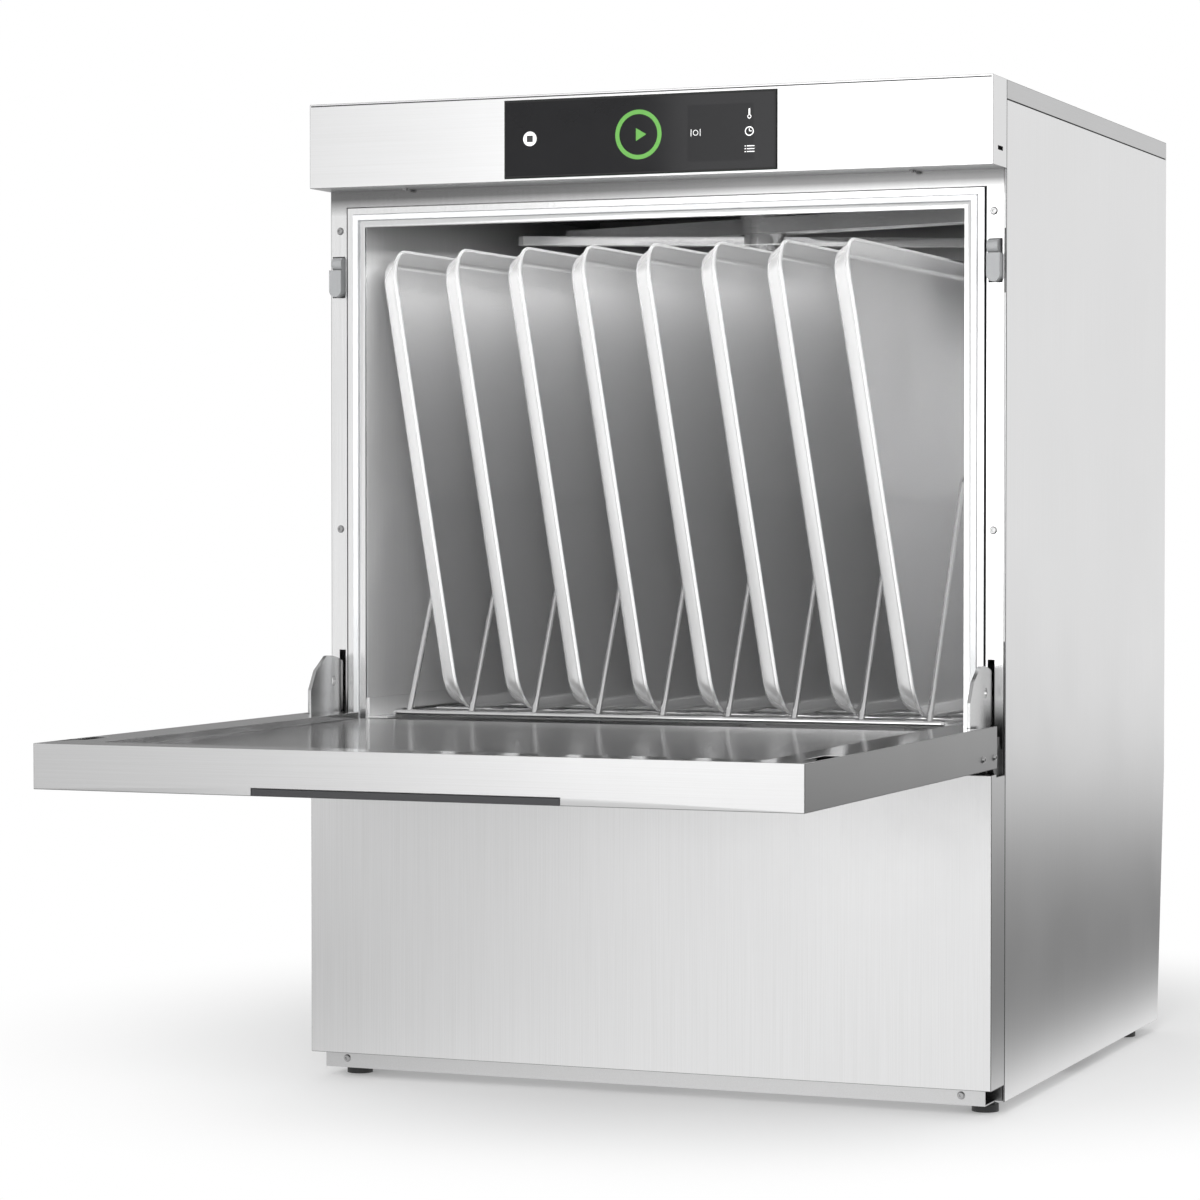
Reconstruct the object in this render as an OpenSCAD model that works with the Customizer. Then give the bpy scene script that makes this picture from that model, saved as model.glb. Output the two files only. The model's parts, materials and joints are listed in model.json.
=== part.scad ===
// Undercounter glass washer with a drop-down door and a wire rack of eight leaning trays.
// The rack slides out of the wash chamber onto the open door. All sizes are in millimetres.

/* [Cabinet] */
// Width over the side panels
machine_w = 600; // [598:1:620]
// Depth from the fascia to the rear panel
machine_d = 590; // [588:1:640]
// Height from the floor to the top cover
machine_h = 830; // [828:1:860]
// Thickness of the outer sheet metal
sheet_t = 1.2; // [1:0.1:1.5]
// Height of the base above the floor
foot_h = 10; // [8:1:16]
// Diameter of a foot
foot_dia = 22; // [18:1:30]
// Width of the folded edges of the panels
flange_w = 12; // [8:1:16]
// Height of the cover's edge on the side panels
cover_edge_h = 15.5; // [12:0.5:20]
// Height at which the rear starts to slope in
rear_slope_h = 243; // [200:1:280]
// How far the rear slopes in at the bottom
rear_slope_in = 24; // [10:1:30]
// Height of the recess for the connections
niche_h = 110; // [90:1:130]

/* [Fascia] */
// Depth of the fascia box
fascia_d = 38; // [36:1:42]
// Height of the fascia box
fascia_h = 71; // [71:1:76]
// Width of the control glass
glass_w = 239; // [230:1:280]
// Height of the control glass
glass_h = 64; // [60:1:66]
// Thickness of the control glass
glass_t = 3; // [2.5:0.1:4]
// Outer radius of the start ring
ring_r = 20.3; // [16:0.1:22]
// Width of the start ring's band
ring_band = 3.6; // [2:0.1:5]
// Distance of the stop key from the middle
stop_x = 96.5; // [80:0.5:104]
// Radius of the stop key
stop_r = 6; // [5:0.1:8]
// Width of the display
display_w = 57; // [50:0.5:60]
// Height of the display
display_h = 46; // [40:0.5:50]
// Distance of the display's middle from the glass's middle
display_x = 71.5; // [66:0.5:80]

/* [Opening] */
// Width of the chamber's opening
opening_w = 532; // [528:1:534]
// Height of the opening's top edge above the floor
opening_top = 728; // [726:1:732]
// Width of the bright frame round the opening
frame_band = 16.6; // [14:0.1:17]
// Thickness of the chamber's sheet metal
chamber_t = 1.2; // [1:0.1:1.5]
// Height of the chamber's floor
chamber_floor = 250; // [246:1:254]
// Height of the chamber's ceiling
chamber_top = 771; // [768:1:776]
// Width of the door seal
seal_w = 5; // [4:0.1:7]

/* [Door] */
// Thickness of the door
door_t = 34; // [33:0.5:35]
// Height of the lower front panel's top edge
lower_top = 275.5; // [270:0.5:275.5]
// Distance of the hinge axis behind the fascia's face
hinge_y = 8; // [7.5:0.1:8.2]
// Radius of the hinge pins
hinge_pin_r = 3.5; // [3:0.1:3.6]
// Radius of the quadrant on the hinge leaf
quadrant_r = 74; // [66:1:76]
// Thickness of the hinge leaf
leaf_t = 3; // [2.5:0.1:3.5]
// Depth of the rack's track in the door's inner panel
track_depth = 5.4; // [4:0.1:6]
// Width of the grip strip
grip_w = 240; // [200:1:260]
// Height of the grip strip
grip_h = 5.4; // [4:0.1:7]
// Gap between the shut door and the fascia
top_gap = 3.5; // [3:0.1:5]

/* [Rack] */
// Width of the rack over its wires
rack_w = 498; // [490:1:500]
// Length of the rack over its wires
rack_l = 500; // [480:1:504]
// Diameter of the rack's frame wires
frame_wire = 6; // [5:0.1:6.5]
// Diameter of the bails' wires
bail_wire = 5; // [4:0.1:5.4]
// Distance between the bails
bail_pitch = 58.1; // [57.8:0.1:58.4]
// Height of the bails above the frame wires
bail_h = 200; // [180:1:205]
// How far a bail's legs lean in
bail_lean = 98; // [70:1:110]
// How far the rack slides out onto the door
rack_travel = 285; // [200:1:290]

/* [Trays] */
// Length of a tray
tray_l = 526; // [480:1:527]
// Height of a standing tray along its slope
tray_h = 400; // [380:1:402]
// Depth of a tray
tray_d = 17; // [14:0.5:18]
// Sheet thickness of a tray
tray_t = 1.2; // [0.8:0.1:1.5]
// Corner radius of a tray's rim
tray_r = 30; // [24:1:40]
// How far a tray's walls taper in
tray_taper = 6; // [4:0.5:8]
// Diameter of a tray's rolled rim
tray_bead = 3.6; // [3:0.1:4]
// Angle at which the trays lean
tray_lean = 9.2; // [8:0.1:9.3]

/* [Wash system] */
// Length of the wash arms
wash_arm_l = 460; // [400:1:470]
// Length of the rinse arms
rinse_arm_l = 440; // [380:1:460]
// Radius of the arms' spindles
spindle_r = 8; // [6:0.1:9]
// Depth of the tank below the chamber's floor
tank_depth = 98; // [80:1:98]
// Radius of the boiler
boiler_r = 58; // [50:1:60]
// Length of the boiler
boiler_l = 280; // [240:1:300]
// Radius of the wash pump's casing
pump_r = 50; // [44:1:51]
// Radius of the wash pump's motor
motor_r = 44; // [40:1:45]

/* [Connections] */
// Radius of the water inlet's thread
inlet_r = 13.2; // [12:0.1:14]
// Length of the water inlet's thread
inlet_l = 16; // [14:0.5:18]
// Radius of the drain spigot
drain_r = 12; // [10:0.5:13]
// Length of the drain spigot
drain_l = 20; // [15:0.5:22]
// Radius of the hole through the cable gland
gland_r = 6; // [4:0.1:7]

/* [Hidden] */
$fn = 48;

e = 0.1;
fit = 0.3;
running = 0.05;
half_w = machine_w / 2;
inner_w = half_w - sheet_t;
cover_z = machine_h - cover_edge_h;
panel_y = fascia_d + 2;
fascia_z = machine_h - fascia_h;
inner_rear = machine_d - sheet_t;

// Door: closed it stands between the lower panel and the fascia, open it lies level
door_gap = 4.5;
door_bottom = lower_top + door_gap;
door_top = fascia_z - top_gap;
hinge_z = door_bottom + hinge_y;
open_z = hinge_z - hinge_y;
open_top = open_z + door_t;
open_rear = hinge_y + hinge_z - door_bottom;
open_front = hinge_y - (door_top - hinge_z);
track_z = open_top - track_depth;
track_half = opening_w / 2 - 4;

// Chamber and opening
open_half = opening_w / 2;
frame_y = fascia_d - 1.5;
frame_half = open_half + frame_band;
frame_top = opening_top + frame_band;
sill_z = 290;
chamber_rear = machine_d - 14;
arm_y = (panel_y + chamber_rear) / 2;

// Rack: its frame wires slide on the chamber's rails and on the door's track
slide_gap = 0.3;
wire_z = track_z + 0.6 + frame_wire / 2;
rail_z = wire_z - frame_wire / 2 - slide_gap;
tray_front = fascia_d + 6;
rack_front = tray_front + 6;
bail_count = 9;
bail_top_z = wire_z + bail_h;
rest_z = wire_z + frame_wire / 2 + slide_gap;

// Front hardware
post_y = fascia_d;
post_x = frame_half + 1.4;
latch_x = (post_x + inner_w) / 2;
latch_w = 11;
latch_z = 668.5;
latch_h = 34.5;
latch_out = 8;
leaf_x = 287;
bracket_x = 292.5;

// Arms
lower_hub_z = wire_z - 40.5;
upper_hub_z = chamber_top - 20;
hub_r = spindle_r + 13;
wash_hub_h = 18;
rinse_hub_h = 10;
cap_h = 3.6;

// Tank, pump and boiler
tank_z = chamber_floor - tank_depth;
tank_top_half = 140;
tank_bottom_half = 100;
tank_y0 = arm_y - 178;
tank_y1 = arm_y + 162;
pipe_r = 17;
pump_z = 70;
casing_t = 4;
volute_y = arm_y - 22;
volute_l = 44;
feed_r = 10;
feed_z = tank_z - feed_r - 5;
outlet_z = feed_z - feed_r - 2;
stub_x = pipe_r + 7;
riser_x = 282.8;
over_z = chamber_top + 26;
base_z = foot_h + sheet_t;
niche_y = machine_d - 30;

// The origin lies on the floor under the middle of the machine with its door open
origin_y = (open_front + machine_d) / 2;

steel = [0.78, 0.79, 0.8];
bright = [0.9, 0.91, 0.92];
dark = [0.12, 0.12, 0.13];
plastic = [0.6, 0.61, 0.62];
rubber = [0.2, 0.2, 0.2];
white = [0.93, 0.94, 0.95];
copper = [0.72, 0.45, 0.3];

function leg_angle() = atan2(bail_lean, bail_h);

module place() translate([0, -origin_y, 0]) children();
module both() { children(); mirror([1, 0, 0]) children(); }
module box(x0, x1, y0, y1, z0, z1) translate([x0, y0, z0]) cube([x1 - x0, y1 - y0, z1 - z0]);
module rod_x(r, x0, x1, y, z) translate([x0, y, z]) rotate([0, 90, 0]) cylinder(r = r, h = x1 - x0);
module rod_y(r, x, y0, y1, z) translate([x, y0, z]) rotate([-90, 0, 0]) cylinder(r = r, h = y1 - y0);
module rod_z(r, x, y, z0, z1) translate([x, y, z0]) cylinder(r = r, h = z1 - z0);
module slab_yz(points, x0, x1) translate([x0, 0, 0]) rotate([90, 0, 90])
    linear_extrude(x1 - x0) polygon(points);

// Outline of a rounded rectangle from its corner centres
module rounded(w, h, r) {
    square([w - 2 * r, h], center = true);
    square([w, h - 2 * r], center = true);
    for (x = [-1, 1], y = [-1, 1]) translate([x * (w / 2 - r), y * (h / 2 - r)]) circle(r);
}

// ---- Cabinet ----
module base_frame() color(steel) {
    difference() {
        box(-inner_w + fit, inner_w - fit, panel_y, inner_rear - rear_slope_in - 4, foot_h, base_z);
        both() for (y = foot_rows()) rod_z(5.2, foot_x(), y, foot_h - 1, base_z + 1);
    }
    // Front plinth, set back under the lower panel
    box(-half_w + 8, half_w - 8, plinth_y, plinth_y + sheet_t, foot_h, foot_h + 20);
    box(-half_w + 8, half_w - 8, plinth_y, panel_y + e, foot_h, base_z);
    both() box(inner_w - fit - sheet_t, inner_w - fit, panel_y, 500, base_z - e, 26);
}
plinth_y = 12;
function foot_x() = half_w - 20;
function foot_rows() = [panel_y + 14, machine_d - 74];
module feet() color(dark) both() for (y = foot_rows()) {
    rod_z(foot_dia / 2, foot_x(), y, 0, 6);
    rod_z(foot_dia / 2 - 3, foot_x(), y, 6 - e, foot_h);
    rod_z(5, foot_x(), y, foot_h - e, base_z + 12);
}

// Outer profile of the cabinet seen from its side, drawn inward by d
module side_profile(d = 0) polygon([[panel_y + d, foot_h + d], [machine_d - rear_slope_in - d, foot_h + d],
    [machine_d - d, rear_slope_h], [machine_d - d, cover_z - fit - d], [panel_y + d, cover_z - fit - d]]);
module side_panel() difference() {
    translate([inner_w - flange_w, 0, 0]) rotate([90, 0, 90]) linear_extrude(flange_w + sheet_t)
        side_profile();
    // Hollow behind the sheet: open inward and at the rear, with a front flange
    translate([inner_w - flange_w - 1, 0, 0]) rotate([90, 0, 90]) linear_extrude(flange_w + 1)
        union() {
            side_profile(sheet_t);
            translate([80, 0]) square([machine_d, cover_z]);
            translate([panel_y + sheet_t, 0]) square([100, 60]);
        }
    box(inner_w - flange_w - 1, inner_w, panel_y - 1, panel_y + sheet_t + 1, foot_h - 1, 30);
    // Room in the front flange for the hinge leaf
    box(inner_w - flange_w - 1, inner_w, panel_y - 1, panel_y + 30, 240, 380);
    box(inner_w - flange_w - 1, inner_w, panel_y - 1, panel_y + 30, latch_z - 8, latch_z + latch_h + 8);
}
module side_panel_left() color(steel) mirror([1, 0, 0]) side_panel();
module side_panel_right() color(steel) side_panel();

module rear_panel_upper() color(steel) difference() {
    box(-inner_w + fit, inner_w - fit, inner_rear, machine_d, rear_slope_h + 1, cover_z - fit);
    // Air louvres near the top
    for (x = [-4.5:4.5], z = [0:2]) box(x * 42 - 14, x * 42 + 14, inner_rear - 1, machine_d + 1,
        cover_z - 60 + z * 12, cover_z - 56 + z * 12);
}
module rear_panel_lower() color(steel) {
    slope = rear_slope_in / (rear_slope_h - foot_h);
    difference() {
        slab_yz([[machine_d - slope * (rear_slope_h - niche_h) - sheet_t, niche_h],
            [machine_d - slope * (rear_slope_h - niche_h), niche_h], [machine_d, rear_slope_h],
            [machine_d - sheet_t, rear_slope_h]], -inner_w + fit, inner_w - fit);
        for (x = [-3:3]) box(x * 60 - 20, x * 60 + 20, niche_y, machine_d + 1, 180, 184);
    }
    // Upright plate that carries the water, drain and cable connections
    difference() {
        box(-inner_w + fit, inner_w - fit, niche_y - sheet_t, niche_y, base_z, niche_h);
        rod_y(drain_r - 1.8, -drain_x, niche_y - 5, niche_y + 5, conn_z);
        rod_y(inlet_r - 0.8, inlet_x, niche_y - 5, niche_y + 5, conn_z);
        rod_y(gland_r + 4.1, gland_x, niche_y - 5, niche_y + 5, conn_z);
    }
    box(-inner_w + fit, inner_w - fit, niche_y - sheet_t, machine_d - slope * (rear_slope_h - niche_h) - 0.6,
        niche_h - sheet_t, niche_h);
    // Foot flange on the base
    box(-inner_w + 30, inner_w - 30, niche_y - 20, niche_y, base_z, base_z + sheet_t);
}
drain_x = 60;
inlet_x = 215;
gland_x = 130;
conn_z = 62;
collar_t = 3;

module top_cover() color(steel) {
    difference() {
        box(-half_w, half_w, panel_y, machine_d, cover_z, machine_h);
        box(-inner_w, inner_w, panel_y - 1, inner_rear, cover_z - 1, machine_h - sheet_t);
    }
}

module fascia_hood() color(steel) difference() {
    union() {
        difference() {
            box(-half_w, half_w, 0, fascia_d + 1.4, fascia_z, machine_h);
            box(-inner_w, inner_w, sheet_t, fascia_d + 2, fascia_z + sheet_t, machine_h - sheet_t);
        }
        // Folded edge down behind the door's top
        box(-inner_w + fit, inner_w - fit, fascia_d - sheet_t - e, fascia_d - e, fascia_z, fascia_z + 24);
    }
    // Window for the control glass
    box(-glass_w / 2 - fit, glass_w / 2 + fit, -1, sheet_t + 1, glass_z() - fit, glass_z() + glass_h + fit);
    both() box(inner_w - 1, half_w + 1, 14, 28, fascia_z + 13, fascia_z + 16);
    // Room behind the bottom edge for the posts' rail
    box(-inner_w, inner_w, fascia_d - e, fascia_d + 2, fascia_z - 1, fascia_z + 30);
}
function glass_z() = fascia_z + 2.5;
glass_mid = glass_z() + glass_h / 2;
module control_glass() color(dark) difference() {
    box(-glass_w / 2, glass_w / 2, -1.4, glass_t - 1.4, glass_z(), glass_z() + glass_h);
    rod_y(ring_r + 0.05, 0, -2, -0.8, glass_mid);
    rod_y(stop_r + 0.05, -stop_x, -2, -0.8, glass_mid);
}
module start_ring() {
    color([0.35, 0.75, 0.3]) difference() {
        rod_y(ring_r, 0, -1.4, -0.8, glass_mid);
        rod_y(ring_r - ring_band, 0, -2, 0, glass_mid);
    }
    color([0.35, 0.75, 0.3]) translate([1, -0.8, glass_mid]) rotate([90, 0, 0]) linear_extrude(0.6)
        polygon([[-4.4, -5.4], [-4.4, 5.4], [4.8, 0]]);
}
module stop_key() color(white) difference() {
    rod_y(stop_r, -stop_x, -1.4, -0.8, glass_mid);
    box(-stop_x - 2.1, -stop_x + 2.1, -2, 0, glass_mid - 2.1, glass_mid + 2.1);
}
// Carrier behind the glass with the circuit board and the display
module control_board() {
    back = glass_t - 1.4;
    color(rubber) difference() {
        box(-glass_w / 2 - 8, glass_w / 2 + 8, back, back + 6, fascia_z + 1.4, machine_h - 1.4);
        box(-glass_w / 2 + 10, glass_w / 2 - 10, back - 1, back + 7, fascia_z + 10, machine_h - 10);
    }
    color([0.1, 0.3, 0.2]) box(-glass_w / 2 + 2, glass_w / 2 - 2, back + 6, back + 7.6,
        fascia_z + 6, machine_h - 6);
    color(dark) box(display_x - display_w / 2, display_x + display_w / 2, back + 0.1, back + 6 + e,
        glass_mid - display_h / 2 + 1, glass_mid + display_h / 2 - 1);
    color(dark) for (x = [-90, -40]) box(x, x + 14, back + 7.5, back + 13, glass_mid - 6, glass_mid + 6);
}

module lower_front_panel() color(steel) {
    box(-half_w, half_w, 0, sheet_t, foot_h + 14, lower_top);
    both() difference() {
        box(half_w - sheet_t, half_w, 0, panel_y - 1, foot_h + 14, lower_top);
        box(half_w - 3, half_w + 1, 14, panel_y, lower_top - 2, lower_top + 1);
    }
    // Returns at the top and the bottom that stiffen the sheet
    box(-inner_w, inner_w, 0, plinth_y - fit, foot_h + 14, foot_h + 14 + sheet_t);
    box(-inner_w, inner_w, 0, 12, lower_top - 16, lower_top - 16 + sheet_t);
}

// Posts beside the opening and the rail above it, one welded frame
module front_frame() color(bright) difference() {
    union() {
        both() {
            box(post_x, inner_w - 0.2, post_y, post_y + sheet_t, base_z, fascia_z + 40);
            box(inner_w - 0.2 - sheet_t, inner_w - 0.2, post_y, panel_y - 0.2, base_z, fascia_z + 40);
        }
        box(-inner_w + 0.2, inner_w - 0.2, post_y, post_y + sheet_t, frame_top + 0.6, fascia_z + 40);
        // Cross rail behind the lower panel, which carries the hinge brackets
        box(-inner_w + 0.2, inner_w - 0.2, post_y, post_y + sheet_t, 228, 246);
    }
    both() {
        box(leaf_x - 1.4, leaf_x + leaf_t + 1.4, post_y - 1, post_y + 3, 246, hinge_z + quadrant_r + 4);
        box(latch_x - latch_w / 2 - fit, latch_x + latch_w / 2 + fit, post_y - 1, post_y + 3,
            latch_z - fit, latch_z + latch_h + fit);
    }
}

// Bright frame round the opening, open at the sill
module frame_outline(w0, w1, z0, z1, top) difference() {
    translate([0, (z0 + z1) / 2]) square([2 * w1, z1 - z0], center = true);
    translate([0, (z0 + top) / 2 - 5]) square([2 * w0, top - z0 + 10], center = true);
}
module opening_frame() color(bright) difference() {
    translate([0, panel_y, 0]) rotate([90, 0, 0]) linear_extrude(panel_y - frame_y)
        frame_outline(open_half, frame_half, sill_z, frame_top, opening_top);
    // Groove that holds the seal
    translate([0, frame_y + 1, 0]) rotate([90, 0, 0]) linear_extrude(2) seal_outline(0);
}
seal_x = open_half + frame_band / 2;
module seal_outline(d) difference() {
    translate([0, (305 + opening_top + frame_band / 2 + seal_w / 2) / 2])
        square([2 * seal_x + seal_w - 2 * d, opening_top + frame_band / 2 + seal_w / 2 - 305 - 2 * d],
            center = true);
    translate([0, 200 + (opening_top + frame_band / 2 - seal_w / 2 - 200) / 2 + d])
        square([2 * seal_x - seal_w + 2 * d, opening_top + frame_band / 2 - seal_w / 2 - 200], center = true);
}
module door_seal() color(white) {
    translate([0, frame_y + 1, 0]) rotate([90, 0, 0]) linear_extrude(frame_y + 1 - door_t - fit)
        seal_outline(0.05);
}

// ---- Chamber ----
module wash_chamber() color(steel) difference() {
    box(-open_half - chamber_t, open_half + chamber_t, panel_y, chamber_rear + chamber_t,
        chamber_floor - chamber_t, chamber_top + chamber_t);
    box(-open_half, open_half, panel_y + chamber_t, chamber_rear, chamber_floor, chamber_top);
    box(-open_half, open_half, panel_y - 1, panel_y + 5, sill_z, opening_top);
    // Way down to the tank
    box(-tank_top_half, tank_top_half, tank_y0, tank_y1, chamber_floor - 3, chamber_floor + 1);
    rod_z(pipe_r + 0.1, 0, arm_y, chamber_top - 1, chamber_top + 4);
}
module rack_rails() color(bright) both() {
    box(open_half - 18, open_half, panel_y + chamber_t, chamber_rear - 4, rail_z - 1.5, rail_z);
    box(open_half - 1.5, open_half, panel_y + chamber_t, chamber_rear - 4, rail_z - e, rail_z + 16);
    for (y = [panel_y + 40, arm_y, chamber_rear - 50])
        slab_yz([[y, rail_z - 1.4], [y + 8, rail_z - 1.4], [y, rail_z - 14]], open_half - 14, open_half);
}
module tank_profile(d) polygon([[-tank_top_half - 6 + d, chamber_floor - chamber_t + (d > 0 ? 1 : 0)],
    [-tank_bottom_half + d, tank_z + d], [tank_bottom_half - d, tank_z + d],
    [tank_top_half + 6 - d, chamber_floor - chamber_t + (d > 0 ? 1 : 0)]]);
module sump_tank() color(steel) difference() {
    translate([0, tank_y1 + 6, 0]) rotate([90, 0, 0]) linear_extrude(tank_y1 - tank_y0 + 12) tank_profile(0);
    translate([0, tank_y1 + 4.5, 0]) rotate([90, 0, 0]) linear_extrude(tank_y1 - tank_y0 + 9)
        tank_profile(1.5);
    rod_z(pipe_r + 0.1, 0, arm_y, tank_z - 2, tank_z + 3);
    rod_z(suction_r + 0.1, 0, suction_y, tank_z - 2, tank_z + 3);
    for (x = [-heater_x, heater_x]) rod_y(4.1, x, tank_y0 - 8, tank_y0, heater_z);
}
heater_x = 45;
heater_end = tank_y1 - 90;
heater_z = tank_z + 22;
suction_r = 19;
suction_y = arm_y - 93;
basket_x = 78;
basket_y = arm_y - 108;
basket_r = 38;
plate_z = chamber_floor;
slot_y = arm_y - 38;
module strainer_plates() color(bright) difference() {
    both() box(2, tank_top_half + 10, tank_y0 - 8, tank_y1 + 8, plate_z, plate_z + 1.2);
    rod_z(pipe_r + 1, 0, arm_y, plate_z - 1, plate_z + 3);
    rod_z(basket_r + 0.4, basket_x, basket_y, plate_z - 1, plate_z + 3);
    // Rows of slots that strain the wash water
    for (x = [-4:4], y = [0:2]) if (x != 0) box(x * 29 - 2, x * 29 + 2, slot_y + y * 62, slot_y + 48 + y * 62,
        plate_z - 1, plate_z + 3);
}
module strainer_basket() color(bright) {
    difference() {
        rod_z(basket_r, basket_x, basket_y, tank_z + 40, plate_z + 6);
        rod_z(basket_r - 1.2, basket_x, basket_y, tank_z + 41.2, plate_z + 8);
        for (a = [0:30:150]) translate([basket_x, basket_y, tank_z + 52]) rotate([0, 0, a])
            translate([-50, -4, 0]) cube([100, 8, plate_z - tank_z - 64]);
    }
    difference() {
        rod_z(basket_r + 6, basket_x, basket_y, plate_z + 1.2, plate_z + 2.4);
        rod_z(basket_r - 1.2, basket_x, basket_y, plate_z, plate_z + 3);
    }
    rod_x(2, basket_x - basket_r + 0.5, basket_x + basket_r - 0.5, basket_y, plate_z + 4);
}
// U-shaped heating rod through the tank's front wall
module tank_heater() color(steel) {
    both() rod_y(4, heater_x, tank_y0 - 20, heater_end, heater_z);
    translate([0, heater_end, heater_z]) rotate_extrude(angle = 180) translate([heater_x, 0]) circle(4);
    box(-heater_x - 14, heater_x + 14, tank_y0 - 12, tank_y0 - 6, heater_z - 12, heater_z + 12);
}

// Standing pipe with its spindle, as seen from the arms' side
module spindle(h) {
    cylinder(r = spindle_r, h = h);
    translate([0, 0, h]) cylinder(r = spindle_r + 4, h = cap_h);
}
spindle_h = wash_hub_h + rinse_hub_h + 3 * fit;
module manifold_lower() color(bright) {
    rod_z(pipe_r, 0, arm_y, outlet_z, lower_hub_z);
    rod_x(feed_r, pipe_r - 4, stub_x, arm_y, feed_z);
    translate([0, arm_y, lower_hub_z - e]) spindle(spindle_h + e);
}
module manifold_upper() color(bright) {
    rod_z(pipe_r, 0, arm_y, upper_hub_z, over_z + feed_r + 2);
    rod_x(feed_r, pipe_r - 4, stub_x, arm_y, over_z);
    translate([0, arm_y, upper_hub_z + e]) mirror([0, 0, 1]) spindle(spindle_h + e);
}
// Pipe from the pump round the chamber's right side to the upper arms
module wash_riser() color(plastic) {
    for (z = [feed_z, over_z]) rod_x(feed_r, stub_x, riser_x, arm_y, z);
    for (z = [feed_z, over_z]) translate([riser_x, arm_y, z]) sphere(feed_r);
    rod_z(feed_r, riser_x, arm_y, feed_z, over_z);
}

// Arm: a flat tube tapering to rounded ends, with spray slots towards the rack
module arm(length, width, height, hub_h, side) difference() {
    union() {
        cylinder(r = hub_r, h = hub_h);
        translate([0, 0, side > 0 ? hub_h - height : 0]) linear_extrude(height) {
            for (s = [-1, 1]) {
                polygon([[s * 8, -width / 2], [s * 8, width / 2], [s * (length / 2 - width / 3), width / 3],
                    [s * (length / 2 - width / 3), -width / 3]]);
                translate([s * (length / 2 - width / 3), 0]) circle(width / 3);
            }
            circle(width / 2);
        }
    }
    translate([0, 0, -1]) cylinder(r = spindle_r + running, h = hub_h + 2);
    for (s = [-1, 1], k = [1:4]) translate([s * (hub_r + k * (length / 2 - hub_r) / 5), 0,
        side > 0 ? hub_h - 1 : -1]) rotate([0, 0, s * 15]) cube([14, 2, 4], center = true);
}
module wash_arm_lower() color(bright) translate([0, arm_y, lower_hub_z + fit]) rotate([0, 0, 20])
    arm(wash_arm_l, 34, 14, wash_hub_h, 1);
module rinse_arm_lower() color(bright) translate([0, arm_y, lower_hub_z + 2 * fit + wash_hub_h])
    rotate([0, 0, -35]) arm(rinse_arm_l, 20, 8, rinse_hub_h, 1);
module wash_arm_upper() color(bright) translate([0, arm_y, upper_hub_z - fit - wash_hub_h])
    rotate([0, 0, -18]) arm(wash_arm_l, 34, 14, wash_hub_h, -1);
module rinse_arm_upper() color(bright)
    translate([0, arm_y, upper_hub_z - 2 * fit - wash_hub_h - rinse_hub_h])
    rotate([0, 0, 25]) arm(rinse_arm_l, 20, 8, rinse_hub_h, -1);

// ---- Below the chamber ----
module pump_casing() color(plastic) difference() {
    union() {
        rod_y(pump_r + casing_t, 0, volute_y - casing_t, volute_y + volute_l + casing_t, pump_z);
        rod_z(pipe_r - 1, 0, arm_y, pump_z, outlet_z);
        rod_y(suction_r, 0, suction_y, volute_y, pump_z);
        rod_z(suction_r, 0, suction_y, pump_z, tank_z + 1.5);
        translate([0, suction_y, pump_z]) sphere(suction_r);
        box(-34, 34, volute_y + 4, volute_y + volute_l - 4, base_z, pump_z - 34);
    }
    rod_y(pump_r, 0, volute_y, volute_y + volute_l, pump_z);
    rod_y(suction_r - 4, 0, suction_y + 8, volute_y + 1, pump_z);
    rod_y(shaft_r + running, 0, volute_y, volute_y + volute_l + 9, pump_z);
}
shaft_r = 6;
motor_y = volute_y + volute_l + casing_t;
motor_l = 130;
module pump_motor() color([0.35, 0.36, 0.38]) difference() {
    union() {
        rod_y(motor_r, 0, motor_y, motor_y + motor_l, pump_z);
        for (a = [0:15:345]) translate([0, motor_y + 12, pump_z]) rotate([0, a, 0])
            box(-1, 1, 0, motor_l - 34, motor_r - 2, motor_r + 3);
        box(-38, 38, motor_y + 30, motor_y + 90, base_z, pump_z - motor_r + 8);
    }
    rod_y(shaft_r + running, 0, motor_y - 1, motor_y + motor_l - 20, pump_z);
}
module pump_rotor() color(dark) {
    rod_y(shaft_r, 0, volute_y + 8, motor_y + motor_l - 24, pump_z);
    rod_y(pump_r - 8, 0, volute_y + volute_l - 12, volute_y + volute_l - 8, pump_z);
    for (a = [0:60:300]) translate([0, volute_y + 14, pump_z]) rotate([0, a, 0])
        box(-1.5, 1.5, 0, volute_l - 25, shaft_r - 1, pump_r - 9);
}
boiler_x = -inner_w + boiler_r + 14;
boiler_z = 90;
boiler_y = arm_y - 158;
module boiler() color(bright) {
    rod_y(boiler_r, boiler_x, boiler_y, boiler_y + boiler_l, boiler_z);
    rod_y(boiler_r - 14, boiler_x, boiler_y - 8, boiler_y + e, boiler_z);
    for (x = [-14, 0, 14]) rod_y(4, boiler_x + x, boiler_y - 22, boiler_y - 7, boiler_z);
    for (y = [boiler_y + 40, boiler_y + boiler_l - 60]) difference() {
        box(boiler_x - 40, boiler_x + 40, y, y + 3, base_z, boiler_z);
        rod_y(boiler_r - 2, boiler_x, y - 1, y + 4, boiler_z);
    }
    rod_z(8, boiler_x + 10, boiler_y + 60, boiler_z + boiler_r - 3, boiler_z + boiler_r + 18);
    rod_z(8, boiler_x + 10, boiler_y + boiler_l - 40, boiler_z + boiler_r - 3, boiler_z + boiler_r + 18);
}
module rinse_pump() color([0.35, 0.36, 0.38]) {
    rod_y(28, boiler_x, 62, 108, 62);
    rod_y(33, boiler_x, 50, 62 + e, 62);
    rod_y(7, boiler_x, 42, 51, 62);
    box(boiler_x - 24, boiler_x + 24, 66, 104, base_z, 40);
}
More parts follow.
